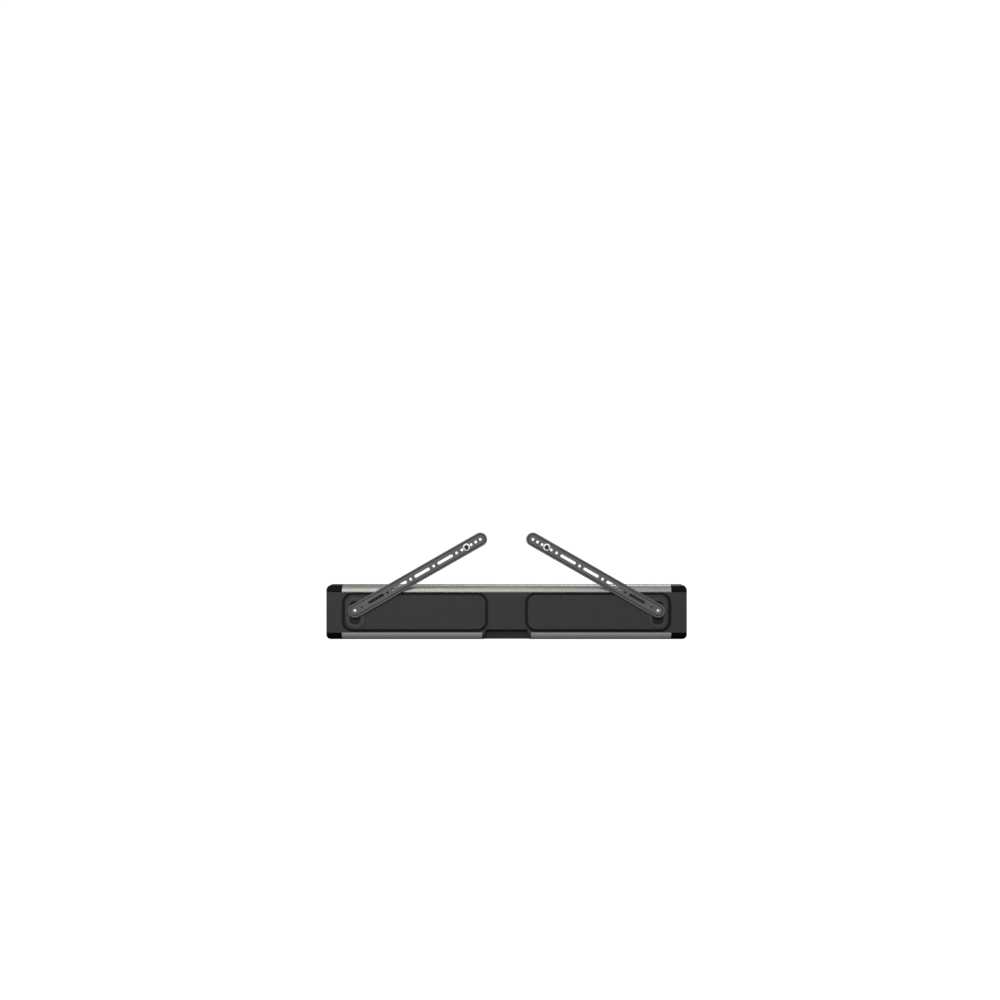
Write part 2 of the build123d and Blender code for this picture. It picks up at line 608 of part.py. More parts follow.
def woofer_cone():
    """The moving cone with its dust cap and voice-coil former."""
    rim = -BAFFLE_FRONT - 1.0
    neck = rim + CONE_DEPTH
    coil_back = -BAFFLE_FRONT + BASKET_DEPTH + 5.0
    slope = Polygon((CONE_RADIUS - CONE_WALL, rim), (CONE_RADIUS, rim),
                    (COIL_RADIUS, neck), (COIL_RADIUS - CONE_WALL, neck), align=None)
    former = ring_section(COIL_RADIUS - COIL_WALL, COIL_RADIUS, neck - 2.0, coil_back)
    cap_front = neck - 2.0
    cap = ring_section(0, COIL_RADIUS - COIL_WALL + 0.2, cap_front, cap_front + DUST_CAP_THICKNESS)
    return turned(slope) + turned(former) + turned(cap)


def woofer_surround():
    """The rubber half roll between the cone's rim and the flange."""
    front = -BAFFLE_FRONT - FLANGE_THICKNESS
    middle = CONE_RADIUS + SURROUND_GAP + SURROUND_ROLL
    roll = Pos(middle, front) * (Circle(SURROUND_ROLL) - Circle(SURROUND_ROLL - SURROUND_THICKNESS))
    roll &= Pos(middle, front - SURROUND_ROLL / 2) * Rectangle(3 * SURROUND_ROLL, SURROUND_ROLL)
    lip_start = middle + SURROUND_ROLL - SURROUND_THICKNESS
    lip_end = DRIVER_SCREW_CIRCLE - SCREW_HEAD_RADIUS - FIT
    lip = ring_section(lip_start, lip_end, front - SURROUND_THICKNESS, front)
    return turned(roll) + turned(lip)


def make_drivers():
    """Six woofers and three tweeters, with their screws."""
    at = [Pos(x, 0, 0) for x in WOOFER_XS]
    basket, magnet, surround, cone = woofer_basket(), woofer_magnet(), woofer_surround(), woofer_cone()
    parts["woofer_baskets"] = group([place * basket for place in at])
    parts["woofer_magnets"] = group([place * magnet for place in at])
    parts["woofer_surrounds"] = group([place * surround for place in at])
    for number, place in enumerate(at, 1):
        parts[f"woofer_cone_{number}"] = place * cone

    front = -BAFFLE_FRONT - FLANGE_THICKNESS
    body = disc(0, 0, TWEETER_FLANGE, front, -BAFFLE_FRONT)
    body += disc(0, 0, TWEETER_BODY, -BAFFLE_FRONT, -BAFFLE_FRONT + TWEETER_DEPTH)
    body -= disc(0, 0, TWEETER_DOME + 0.5, front - 1.0, front + TWEETER_WELL)
    for x, z in screw_circle(TWEETER_SCREW_CIRCLE):
        body -= disc(x, z, SHANK_HOLE_RADIUS, front - 1.0, -BAFFLE_FRONT + 0.5)
    dome = disc(0, 0, TWEETER_DOME, front + TWEETER_DOME_SETBACK, front + TWEETER_WELL)
    dome = fillet(dome.faces().sort_by(Axis.Y)[0].edges(), TWEETER_DOME_ROUND)
    spots = [Pos(x, 0, 0) for x in TWEETER_XS]
    parts["tweeter_bodies"] = group([place * body for place in spots])
    parts["tweeter_domes"] = group([place * dome for place in spots])

    screws = []
    for x, z in driver_screw_places():
        head = disc(x, z, SCREW_HEAD_RADIUS, front - SCREW_HEAD_HEIGHT, front)
        screws.append(head + disc(x, z, THREAD_RADIUS, front, -BAFFLE_REAR + 0.5))
    parts["driver_screws"] = group(screws)


# ---------------------------------------------------------------- electronics
def jack(socket):
    """A jack body over its opening, with a socket in its lower face."""
    x, y, width, depth = SOCKETS[socket]
    low = BAY_CEILING + BAY_WALL
    half_w, half_d = width / 2, depth / 2
    body = block(x - half_w - JACK_WALL, x + half_w + JACK_WALL,
                 y - half_d - JACK_WALL, y + half_d + JACK_WALL, low, low + JACK_RISE)
    return body - block(x - half_w, x + half_w, y - half_d, y + half_d, low - 1.0, low + JACK_ROOM)


def make_ports():
    """Mains inlet, optical input with its shutter, two network jacks, and the board above them."""
    low = BAY_CEILING + BAY_WALL
    x, y, width, depth = SOCKETS["mains"]
    inlet = jack("mains")
    for side in (-1, 1):
        pin = Pos(x + side * INLET_PIN_SPACING / 2, y) * Circle(INLET_PIN_RADIUS)
        inlet += along_z(pin, low + 1.0, low + JACK_ROOM + 0.5)
    parts["mains_inlet"] = inlet
    parts["ethernet_jacks"] = group([jack("ethernet_1"), jack("ethernet_2")])

    x, y, width, depth = SOCKETS["optical"]
    half_w, half_d = width / 2 - SHUTTER_GAP, depth / 2 - SHUTTER_GAP
    flap_low = low + SHUTTER_GAP
    flap_high = flap_low + SHUTTER_THICKNESS
    flap = block(x - half_w, x + half_w, y - half_d, y + half_d, flap_low, flap_high)
    pin_radius = SHUTTER_THICKNESS / 2
    pin_at = Pos(y + half_d - pin_radius, flap_low + pin_radius)
    pin_reach = width / 2 + JACK_WALL / 2
    parts["optical_shutter"] = flap + along_x(pin_at * Circle(pin_radius), x - pin_reach, x + pin_reach)
    bearing = pin_at * Circle(pin_radius + SHUTTER_PIN_CLEARANCE)
    reach = pin_reach + FIT
    parts["optical_jack"] = jack("optical") - along_x(bearing, x - reach, x + reach)

    board_low = low + JACK_RISE
    board_room = (-27.0, FLOOR_FRONT - 1.0)
    parts["connector_board"] = block(-46.0, 50.0, *board_room, board_low, board_low + BOARD)


def board(span, half):
    """A circuit board on the rear cover's standoffs."""
    return block(*span, BOARD_FRONT, BOARD_REAR, -half, half)


def chip(span, along, z, width, height, rise):
    """A package on a board's front face, this far along the board and up from the bar's middle."""
    x = span[0] + along
    return block(x, x + width, BOARD_FRONT - rise, BOARD_FRONT, z, z + height)


def make_boards():
    """Main, amplifier and power boards on the rear cover, and what stands on them."""
    parts["main_board"] = board(MAIN_BOARD_X, BOARD_HALF)
    parts["wireless_shield"] = chip(MAIN_BOARD_X, 12.0, -16.0, 44.0, 34.0, SHIELD_HEIGHT)
    processor = chip(MAIN_BOARD_X, 68.0, -10.0, 17.0, 17.0, 1.6)
    memory = chip(MAIN_BOARD_X, 68.0, 12.0, 12.0, 8.0, 1.2)
    converter = chip(MAIN_BOARD_X, 94.0, -8.0, 12.0, 12.0, 1.4)
    storage = chip(MAIN_BOARD_X, 94.0, 10.0, 22.0, 8.0, 1.2)
    plug_header = chip(MAIN_BOARD_X, 100.0, -22.0, 18.0, 9.0, 6.0)
    parts["main_board_chips"] = group([processor, memory, converter, storage, plug_header])

    parts["amplifier_board"] = board(AMP_BOARD_X, BOARD_HALF)
    sink_x = (AMP_BOARD_X[0] + 18.0, AMP_BOARD_X[1] - 18.0)
    sink_z = BOARD_HALF - 8.0
    sink = block(*sink_x, BOARD_FRONT - SINK_BASE, BOARD_FRONT, -sink_z, sink_z)
    spacing = (2 * sink_z - 2.0) / (SINK_FINS - 1)
    for number in range(SINK_FINS):
        z = -sink_z + number * spacing
        sink += block(*sink_x, BOARD_FRONT - SINK_BASE - SINK_FIN, BOARD_FRONT - SINK_BASE + 0.2, z, z + 2.0)
    parts["amplifier_heat_sink"] = sink

    parts["power_board"] = board(POWER_BOARD_X, BOARD_HALF)
    start = POWER_BOARD_X[0]
    core = block(start + 34.0, start + 62.0, BOARD_FRONT - 15.0, BOARD_FRONT, -14.0, 14.0)
    winding = block(start + 38.0, start + 58.0, BOARD_FRONT - 14.0, BOARD_FRONT - 1.0, -19.0, 19.0)
    parts["power_transformer"] = core + winding
    cans = [disc(start + x, z, r, BOARD_FRONT - rise, BOARD_FRONT)
            for x, z, r, rise in ((16.0, -10.0, 8.0, 15.0), (16.0, 11.0, 8.0, 15.0),
                                  (76.0, -12.0, 5.0, 12.0), (76.0, 4.0, 5.0, 12.0), (90.0, 12.0, 4.0, 10.0))]
    parts["power_capacitors"] = group(cans)


def make_sensors():
    """The status light and remote-control receiver behind the grille, and the two aerials."""
    seat = -BAFFLE_FRONT
    low, high = SENSOR_Z - SENSOR_BOARD_HALF, SENSOR_Z + SENSOR_BOARD_HALF
    carrier = block(-18.0, 20.0, seat - BOARD, seat, low, high)
    receiver = block(IR_X - 3.0, IR_X + 3.0, seat - BOARD - 4.0, seat - BOARD, SENSOR_Z - 2.5, SENSOR_Z + 2.5)
    parts["sensor_board"] = group([carrier, receiver])
    parts["status_light"] = disc(0, SENSOR_Z, LIGHT_RADIUS, -BAR_DEPTH + CLOTH + 0.1, seat - BOARD)
    aerial = block(CHASSIS_END + 12.0, CHASSIS_END + 13.0, -BAR_DEPTH + 17.0, -BAR_DEPTH + 29.0, -24.0, 24.0)
    parts["wireless_aerials"] = group([mirrored(aerial), aerial])


def make_housing_screws():
    """Screws that hold the rear cover and the end caps."""
    screws = []
    for x, z in COVER_SCREWS:
        seat = FLOOR_REAR - SCREW_HEAD_HEIGHT - 0.1
        screw = disc(x, z, SCREW_HEAD_RADIUS, seat, seat + SCREW_HEAD_HEIGHT)
        screws.append(screw + disc(x, z, THREAD_RADIUS, FLOOR_FRONT - COVER_SCREW_REACH, seat))
    for y, z in CAP_SCREWS:
        seat = CHASSIS_END - WALL
        screw = along_x(Pos(y, z) * Circle(SCREW_HEAD_RADIUS), seat - SCREW_HEAD_HEIGHT, seat)
        screw += along_x(Pos(y, z) * Circle(THREAD_RADIUS), seat, CHASSIS_END + CAP_SCREW_REACH)
        screws += [screw, mirrored(screw)]
    parts["housing_screws"] = group(screws)


# ---------------------------------------------------------------- buttons
def button_outlines(grow):
    """The buttons' outlines on the end face, in Y and Z, grown by this much."""
    wide, tall = VOLUME_WIDTH + 2 * grow, VOLUME_HEIGHT + 2 * grow
    volume = RectangleRounded(wide, tall, VOLUME_ROUND + grow)
    return {
        "button_mute": Pos(BUTTON_Y, MUTE_Z) * Circle(MUTE_RADIUS + grow),
        "button_volume_up": Pos(BUTTON_Y, VOLUME_UP_Z) * volume,
        "button_volume_down": Pos(BUTTON_Y, VOLUME_DOWN_Z) * volume,
    }


def make_buttons():
    """Three push buttons in the right end cap, and the key board that they press on."""
    inner_face = HALF_LENGTH - SKIN
    flange_outer = inner_face - SLIDE_GAP
    flange_inner = flange_outer - BUTTON_FLANGE_THICKNESS
    stem_end = flange_inner - BUTTON_STEM
    heights = {"button_mute": MUTE_Z, "button_volume_up": VOLUME_UP_Z, "button_volume_down": VOLUME_DOWN_Z}
    wide = button_outlines(BUTTON_FLANGE)
    for name, outline in button_outlines(0).items():
        button = along_x(outline, flange_inner, HALF_LENGTH + BUTTON_PROUD)
        face_edges = button.faces().sort_by(Axis.X)[-1].edges()
        button = fillet(face_edges, 0.6)
        button += along_x(wide[name], flange_inner, flange_outer)
        button += along_x(Pos(BUTTON_Y, heights[name]) * Circle(2.0), stem_end, flange_inner + 0.2)
        parts[name] = button

    switch_top = stem_end - BUTTON_TRAVEL - SLIDE_GAP
    board_face = switch_top - SWITCH_HEIGHT
    pieces = [block(board_face - BOARD, board_face, BUTTON_Y - 11.0, BUTTON_Y + 11.0, -34.0, 40.0)]
    for z in heights.values():
        body = block(board_face, board_face + 2.0, BUTTON_Y - 3.0, BUTTON_Y + 3.0, z - 3.0, z + 3.0)
        pieces.append(body + along_x(Pos(BUTTON_Y, z) * Circle(1.7), board_face + 1.8, switch_top))
    parts["key_board"] = group(pieces)


# ---------------------------------------------------------------- hangers and arms
def make_hangers():
    """What slides in each keyhole: a nut behind the plate, a spacer, and the screw the arm turns on."""
    nut_rear = FLOOR_REAR - KEY_PLATE - SLIDE_GAP - 0.1
    nut_front = nut_rear - NUT_THICKNESS
    nut = along_y(Pos(PIVOT_X, PIVOT_Z) * RegularPolygon(NUT_RADIUS, 6), nut_front, nut_rear)
    nut -= disc(PIVOT_X, PIVOT_Z, NUT_BORE, nut_front - 1.0, nut_rear + 1.0)
    spacer_span = (FLOOR_REAR + SLIDE_GAP, ARM_GAP - SLIDE_GAP)
    spacer = disc(PIVOT_X, PIVOT_Z, SPACER_RADIUS, *spacer_span)
    spacer -= disc(PIVOT_X, PIVOT_Z, SPACER_BORE, spacer_span[0] - 1.0, spacer_span[1] + 1.0)
    head_front = ARM_BACK + SLIDE_GAP
    head = disc(PIVOT_X, PIVOT_Z, PIVOT_HEAD_RADIUS, head_front, head_front + PIVOT_HEAD_HEIGHT)
    head = fillet(head.faces().sort_by(Axis.Y)[-1].edges(), PIVOT_HEAD_HEIGHT * 0.6)
    recess = Pos(PIVOT_X, PIVOT_Z) * RegularPolygon(1.8, 6)
    head -= along_y(recess, head_front + PIVOT_HEAD_HEIGHT - 1.5, head_front + PIVOT_HEAD_HEIGHT + 1.0)
    screw = head + disc(PIVOT_X, PIVOT_Z, SCREW_RADIUS, nut_front - 1.0, head_front + 0.1)
    for name, shape in (("keyhole_nut", nut), ("hanger_spacer", spacer), ("pivot_screw", screw)):
        parts[f"{name}_right"] = shape
        parts[f"{name}_left"] = mirrored(shape)


def arm_stadium(half_width, y0, y1):
    """The arm's rounded outline about its pivot, lying along +X, this wide to each side."""
    length = ARM_TV_HOLE_AT + 3 * ARM_TIP_PITCH
    return along_y(Pos(length / 2, 0) * SlotCenterToCenter(length, 2 * half_width), y0, y1)


def arm_holes():
    """Where the arm's round holes lie along it."""
    between_slots = [ARM_SLOT_FIRST + ARM_REPEAT * (step + 0.5) for step in range(ARM_REPEATS)]
    near_tip = [ARM_TV_HOLE_AT + ARM_TIP_PITCH * step for step in range(-1, 4)]
    return between_slots + near_tip


def arm_openings(y0, y1):
    """The arm's round holes and slots, from y0 to y1."""
    openings = [disc(along, 0, ARM_HOLE_RADIUS, y0, y1) for along in arm_holes()]
    for step in range(ARM_REPEATS):
        slot = Pos(ARM_SLOT_FIRST + ARM_REPEAT * step, 0)
        openings.append(along_y(slot * SlotOverall(ARM_SLOT_LENGTH, 2 * ARM_HOLE_RADIUS), y0, y1))
    openings.append(disc(0, 0, ARM_PIVOT_HOLE, y0, y1))
    openings.append(disc(ARM_PIN_HOLE_AT, 0, ARM_PIN_HOLE_RADIUS, y0, y1))
    return openings


def flat_arm():
    """One arm about its pivot, lying along +X: rim, groove and middle land, with its holes and slots."""
    front = ARM_GAP
    rim_back = front + ARM_RIM
    land_back = front + ARM_LAND
    base = arm_stadium(ARM_HALF_WIDTH, front, rim_back)
    base -= arm_stadium(ARM_HALF_WIDTH - ARM_RIM_WIDTH, front + ARM_WEB, rim_back + 1.0)
    base = fillet(base.faces().sort_by(Axis.Y)[-1].edges(), ARM_EDGE_ROUND)
    land = arm_stadium(ARM_LAND_HALF_WIDTH, front + ARM_WEB - 0.2, land_back)
    land -= arm_openings(front, land_back + 1.0)
    land = fillet(land.faces().sort_by(Axis.Y)[-1].edges(), ARM_EDGE_ROUND)
    arm = base + land
    return arm - arm_openings(front - 1.0, land_back - ARM_EDGE_ROUND - 0.1)


def make_arms():
    """The two bracket arms, each with the screw and washer that fasten it to the television."""
    at_pivot = Pos(-PIVOT_X, 0, PIVOT_Z) * Rot(0, -ARM_REST_ANGLE, 0)
    arm = at_pivot * flat_arm()
    washer_back = ARM_BACK + TV_WASHER_THICKNESS
    washer = disc(ARM_TV_HOLE_AT, 0, TV_WASHER_RADIUS, ARM_BACK, washer_back)
    washer -= disc(ARM_TV_HOLE_AT, 0, TV_WASHER_BORE, ARM_BACK - 1.0, washer_back + 1.0)
    head = disc(ARM_TV_HOLE_AT, 0, TV_HEAD_RADIUS, washer_back, washer_back + TV_HEAD_HEIGHT)
    head = chamfer(head.faces().sort_by(Axis.Y)[-1].edges(), 0.5)
    socket = Pos(ARM_TV_HOLE_AT, 0) * RegularPolygon(TV_SOCKET_RADIUS, 6)
    head -= along_y(socket, washer_back + TV_HEAD_HEIGHT - 3.5, washer_back + TV_HEAD_HEIGHT + 1.0)
    thread_rear = ARM_GAP - TV_THREAD_GAP
    screw = head + disc(ARM_TV_HOLE_AT, 0, TV_NECK_RADIUS, thread_rear, washer_back + 0.1)
    screw += disc(ARM_TV_HOLE_AT, 0, TV_SCREW_RADIUS, ARM_GAP - TV_SCREW_REACH, thread_rear)
    for name, shape in (("tv_washer", at_pivot * washer), ("tv_screw", at_pivot * screw), ("arm", arm)):
        parts[f"{name}_left"] = shape
        parts[f"{name}_right"] = mirrored(shape)


# ---------------------------------------------------------------- build and write
make_trims()
make_grille()
make_end_caps()
make_rear_cover()
make_foot_pads()
make_keyholes()
make_port_bay()
make_chassis()
make_drivers()
make_ports()
make_boards()
make_sensors()
make_housing_screws()
make_buttons()
make_hangers()
make_arms()

os.makedirs("parts", exist_ok=True)
for name, shape in parts.items():
    export_step(shape, f"parts/{name}.step")
print(len(parts), "sub-parts written")
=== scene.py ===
"""A soundbar on two bracket arms: finishes, detailed pieces, camera and light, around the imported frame."""

import logging
import math
from abc import ABC, abstractmethod
from collections.abc import Callable, Sequence
from dataclasses import dataclass
from enum import Enum
from typing import Any, Union

import bpy
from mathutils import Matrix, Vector


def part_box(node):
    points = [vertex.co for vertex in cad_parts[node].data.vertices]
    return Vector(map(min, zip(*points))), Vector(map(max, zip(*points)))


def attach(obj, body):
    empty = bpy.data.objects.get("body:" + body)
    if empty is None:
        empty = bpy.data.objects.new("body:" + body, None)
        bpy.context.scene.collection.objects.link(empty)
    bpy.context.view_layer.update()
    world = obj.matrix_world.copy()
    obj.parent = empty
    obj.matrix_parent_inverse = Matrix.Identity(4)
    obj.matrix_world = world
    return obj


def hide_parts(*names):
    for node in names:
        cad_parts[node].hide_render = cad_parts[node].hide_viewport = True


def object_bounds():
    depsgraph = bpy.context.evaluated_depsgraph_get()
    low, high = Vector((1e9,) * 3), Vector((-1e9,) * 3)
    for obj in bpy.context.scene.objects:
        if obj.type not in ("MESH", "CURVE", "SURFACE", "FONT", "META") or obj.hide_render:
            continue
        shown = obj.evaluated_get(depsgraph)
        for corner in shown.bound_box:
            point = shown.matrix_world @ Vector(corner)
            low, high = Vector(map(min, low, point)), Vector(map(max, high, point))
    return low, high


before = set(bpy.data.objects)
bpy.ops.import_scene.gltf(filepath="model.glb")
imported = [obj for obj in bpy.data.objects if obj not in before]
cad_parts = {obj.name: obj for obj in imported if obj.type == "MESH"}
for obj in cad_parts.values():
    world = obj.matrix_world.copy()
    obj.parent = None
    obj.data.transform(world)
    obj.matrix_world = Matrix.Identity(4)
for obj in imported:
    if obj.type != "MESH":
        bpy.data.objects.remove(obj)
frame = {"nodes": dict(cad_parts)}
CAD_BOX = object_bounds()
LOG = logging.getLogger("soundbar")
MM = 0.001
FINISH_ENDING = "_finish"  # on the name of every material made here
NEVER = -1.0  # a level of Y below everything

Colour = tuple[float, float, float]
Pair = tuple[float, float]
Place = tuple[float, float]  # x and z of an axis that runs along Y
Input = Union["Signal", float, Colour]
Face = tuple[int, ...]  # the numbers of its points
Material = bpy.types.Material


class Side(Enum):
    """The bar's two ends. The left one is at -X."""

    LEFT = "left"
    RIGHT = "right"

    def name_of(self, piece: str) -> str:
        """The name of this side's piece."""
        return f"{piece}_{self.value}"


# ---------------------------------------------------------------- shaders


class Signal:
    """A shader node's output. Arithmetic on it adds Math nodes to its recipe."""

    def __init__(self, recipe: "Recipe", socket: bpy.types.NodeSocket) -> None:
        """Keeps the socket and the recipe that it belongs to."""
        self.recipe = recipe
        self.socket = socket

    def _math(self, operation: str, *values: Input) -> "Signal":
        """Adds one Math node on the values, in order."""
        return self.recipe.node("ShaderNodeMath", {"operation": operation}, dict(enumerate(values)))

    def __add__(self, other: Input) -> "Signal":
        """The sum."""
        return self._math("ADD", self, other)

    __radd__ = __add__

    def __rsub__(self, other: Input) -> "Signal":
        """The other less this."""
        return self._math("SUBTRACT", other, self)

    def __mul__(self, other: Input) -> "Signal":
        """The product."""
        return self._math("MULTIPLY", self, other)

    def __truediv__(self, other: Input) -> "Signal":
        """This divided by the other."""
        return self._math("DIVIDE", self, other)

    def __mod__(self, step: float) -> "Signal":
        """What is left over after whole steps."""
        return self._math("FLOORED_MODULO", self, step)

    def __abs__(self) -> "Signal":
        """The value without its sign."""
        return self._math("ABSOLUTE", self)

    def floor(self) -> "Signal":
        """The whole number below."""
        return self._math("FLOOR", self)

    def sine(self) -> "Signal":
        """The sine of the value in radians."""
        return self._math("SINE", self)

    def over(self, edge: float) -> "Signal":
        """1 where the value is above the edge, otherwise 0."""
        return self._math("GREATER_THAN", self, edge)


class Recipe:
    """A material in the making: its node tree and the shader that its signals feed."""

    COLOUR_MIX_SOCKETS = (0, 6, 7)  # factor, first colour and second colour of a colour Mix node
    COLOUR_MIX_RESULT = 2

    def __init__(self, name: str) -> None:
        """Starts a material of this name with one plain shader."""
        self.material = bpy.data.materials.new(f"{name}{FINISH_ENDING}")
        self.material.use_nodes = True
        self.tree = self.material.node_tree
        self.shader = self.tree.nodes["Principled BSDF"]
        self.at = self.node("ShaderNodeTexCoord", out="Object")

    def node(
        self,
        kind: str,
        settings: dict[str, Any] | None = None,
        inputs: dict[Any, Input] | None = None,
        out: int | str = 0,
    ) -> Signal:
        """Adds a node.

        Args:
            kind: the node's type.
            settings: its properties, set before its inputs.
            inputs: values or signals by socket name or number.
            out: the output that is wanted.

        Returns:
            The signal of that output.
        """
        made = self.tree.nodes.new(kind)
        for key, value in (settings or {}).items():
            setattr(made, key, value)
        for key, value in (inputs or {}).items():
            self.feed(made.inputs[key], value)
        return Signal(self, made.outputs[out])

    def feed(self, socket: bpy.types.NodeSocket, value: Input) -> None:
        """Links a signal to a socket, or sets the socket's own value."""
        if isinstance(value, Signal):
            self.tree.links.new(value.socket, socket)
        elif socket.type == "RGBA":
            socket.default_value = (*value, 1.0)
        else:
            socket.default_value = value

    def surface(self, **inputs: Input) -> Material:
        """Feeds the shader and returns the material.

        Args:
            **inputs: values by socket name, with underscores for spaces.

        Returns:
            The finished material.
        """
        for key, value in inputs.items():
            self.feed(self.shader.inputs[key.replace("_", " ")], value)
        return self.material

    def mix(self, factor: Input, first: Input, second: Input) -> Signal:
        """A colour between two, by a factor from 0 to 1."""
        inputs = dict(zip(self.COLOUR_MIX_SOCKETS, (factor, first, second)))
        return self.node("ShaderNodeMix", {"data_type": "RGBA"}, inputs, self.COLOUR_MIX_RESULT)

    def scaled(self, size: float, stretch: Colour = (1.0, 1.0, 1.0)) -> Signal:
        """Places counted in steps of a size.

        Args:
            size: length of one step in metres.
            stretch: how many times longer the step is along X, Y and Z.

        Returns:
            The scaled place, a vector.
        """
        steps = tuple(1.0 / (size * factor) for factor in stretch)
        return self.node("ShaderNodeVectorMath", {"operation": "MULTIPLY"}, {0: self.at, 1: steps})

    def axis(self, name: str) -> Signal:
        """The place along X, Y or Z, in metres."""
        return self.node("ShaderNodeSeparateXYZ", inputs={0: self.at}, out=name)

    def cloud(self, size: float, detail: float = 3.0, stretch: Colour = (1.0, 1.0, 1.0)) -> Signal:
        """Soft noise from 0 to 1 with features of this size in metres."""
        inputs = {"Vector": self.scaled(size, stretch), "Scale": 1.0, "Detail": detail}
        return self.node("ShaderNodeTexNoise", {}, inputs, "Fac")

    def pebbles(self, size: float) -> Signal:
        """Rounded cells of this size in metres, 0 in the middle of each."""
        inputs = {"Vector": self.scaled(size), "Scale": 1.0}
        return self.node("ShaderNodeTexVoronoi", {"feature": "SMOOTH_F1"}, inputs, "Distance")

    # the mask of the painted shade in recesses
    def below(self, level: float) -> Signal:
        """1 where the surface lies further forward than a level of Y, otherwise 0."""
        return (level - self.axis("Y")).over(0.0)

    def relief(self, height: Input, depth: float) -> Signal:
        """A normal bent by a height from 0 to 1, this deep in metres."""
        return self.node("ShaderNodeBump", {}, {"Height": height, "Distance": depth})


def shade(colour: Colour, factor: float) -> Colour:
    """A colour made lighter or darker by a factor."""
    red, green, blue = (min(1.0, channel * factor) for channel in colour)
    return red, green, blue


@dataclass(frozen=True)
class Finish(ABC):
    """How a surface looks. Every finish has a name and a main colour."""

    name: str
    tint: Colour

    @abstractmethod
    def make(self) -> Material:
        """Builds the material."""

    def material(self) -> Material:
        """The material of this finish, built once."""
        return bpy.data.materials.get(f"{self.name}{FINISH_ENDING}") or self.make()


@dataclass(frozen=True)
class MouldedPlastic(Finish):
    """Injection-moulded plastic from a spark-eroded mould: fine pebbles, an uneven sheen and, where set,
    painted shade in recesses.
    """

    roughness: float = 0.55
    pebble: float = 0.5 * MM
    depth: float = 0.03 * MM
    gloss: float = 0.5
    sag: float = 70 * MM  # size of the faint patches where the sheen changes
    painted_shade_below_y: float = NEVER  # the level of Y below which a recess gets painted shade, a darker colour that stands in for the shade falling there
    painted_shade_share: float = 0.05  # how much of the tint is left in the painted shade

    def make(self) -> Material:
        """Builds the plastic."""
        recipe = Recipe(self.name)
        patches = recipe.cloud(self.sag)
        grain = recipe.pebbles(self.pebble)
        speck = recipe.cloud(self.pebble * 0.6, 2.0)
        colour = recipe.mix(patches * 0.7 + speck * 0.3, shade(self.tint, 0.84), shade(self.tint, 1.16))
        # painted shade: in recesses, past a level of Y, the colour is darkened where shade falls
        if self.painted_shade_below_y > NEVER:
            colour = recipe.mix(recipe.below(self.painted_shade_below_y), colour, shade(self.tint, self.painted_shade_share))
        return recipe.surface(
            Base_Color=colour,
            Roughness=self.roughness - 0.05 + patches * 0.06 + grain * 0.05,
            Normal=recipe.relief(grain * 0.7 + speck * 0.3, self.depth),
            Specular_IOR_Level=self.gloss,
        )


@dataclass(frozen=True)
class SoftRubber(Finish):
    """Matt rubber with a faint bloom, fine grain and a little lint."""

    roughness: float = 0.72
    bloom: float = 0.25
    grain: float = 0.35 * MM

    def make(self) -> Material:
        """Builds the rubber."""
        recipe = Recipe(self.name)
        bloom = recipe.cloud(26 * MM, 5.0) * 0.6 + recipe.cloud(140 * MM, 2.0) * 0.4
        grain = recipe.cloud(self.grain, 3.0)
        lint = recipe.cloud(1.1 * MM, 1.0).over(0.74)
        return recipe.surface(
            Base_Color=recipe.mix(
                bloom * (1.0 - lint * 0.35) + lint * 0.35,
                shade(self.tint, 1.0 - self.bloom),
                shade(self.tint, 1.0 + self.bloom),
            ),
            Roughness=self.roughness - 0.06 + bloom * 0.1,
            Normal=recipe.relief(grain, 0.12 * MM),
            Specular_IOR_Level=0.35,
            Sheen_Weight=0.08,
            Sheen_Roughness=0.6,
        )


@dataclass(frozen=True)
class DrawnAluminium(Finish):
    """Extruded aluminium, blasted and anodised: faint lines along X under a fine satin grain."""

    roughness: float = 0.42
    metal: float = 1.0  # less where the anodised film is milky

    def make(self) -> Material:
        """Builds the aluminium."""
        recipe = Recipe(self.name)
        lines = recipe.cloud(0.5 * MM, 3.0, (500.0, 1.0, 1.0))
        blast = recipe.cloud(0.18 * MM, 2.0)
        tone = recipe.cloud(160 * MM, 2.0)
        return recipe.surface(
            Base_Color=recipe.mix(lines * 0.6 + tone * 0.4, shade(self.tint, 0.9), shade(self.tint, 1.08)),
            Roughness=self.roughness - 0.05 + lines * 0.08 + blast * 0.04,
            Metallic=self.metal,
            Normal=recipe.relief(lines * 0.5 + blast * 0.5, 0.02 * MM),
        )


@dataclass(frozen=True)
class PowderCoat(Finish):
    """Fine-textured powder paint: orange peel, tiny painted glints, a slightly uneven tone and, where set,
    painted shade in channels.
    """

    roughness: float = 0.5
    peel: float = 0.9 * MM
    depth: float = 0.11 * MM
    metal: float = 0.0
    gloss: float = 0.5
    painted_shade_below_y: float = NEVER  # the level of Y below which the paint lies in a channel and gets painted shade, a darker colour that stands in for the shade there
    painted_shade_share: float = 0.3  # how much of the tint is left in the painted shade

    def make(self) -> Material:
        """Builds the paint."""
        recipe = Recipe(self.name)
        peel = recipe.pebbles(self.peel)
        fine = recipe.cloud(0.3 * MM, 3.0)
        patch = recipe.cloud(35 * MM, 4.0)
        painted_glint = recipe.cloud(0.25 * MM, 0.0).over(0.72)
        base = recipe.mix(patch, shade(self.tint, 0.86), shade(self.tint, 1.14))
        # painted highlight: specks of colour at 2.2 times the tint stand in for glints of light
        colour = recipe.mix(painted_glint * 0.25, base, shade(self.tint, 2.2))
        # painted shade: in channels, past a level of Y, the colour is darkened where shade falls
        if self.painted_shade_below_y > NEVER:
            colour = recipe.mix(recipe.below(self.painted_shade_below_y), colour, shade(self.tint, self.painted_shade_share))
        return recipe.surface(
            Base_Color=colour,
            Specular_IOR_Level=self.gloss,
            Roughness=self.roughness - 0.08 + fine * 0.08 + patch * 0.08,
            Metallic=self.metal,
            Normal=recipe.relief(peel * 0.6 + fine * 0.4, self.depth),
        )


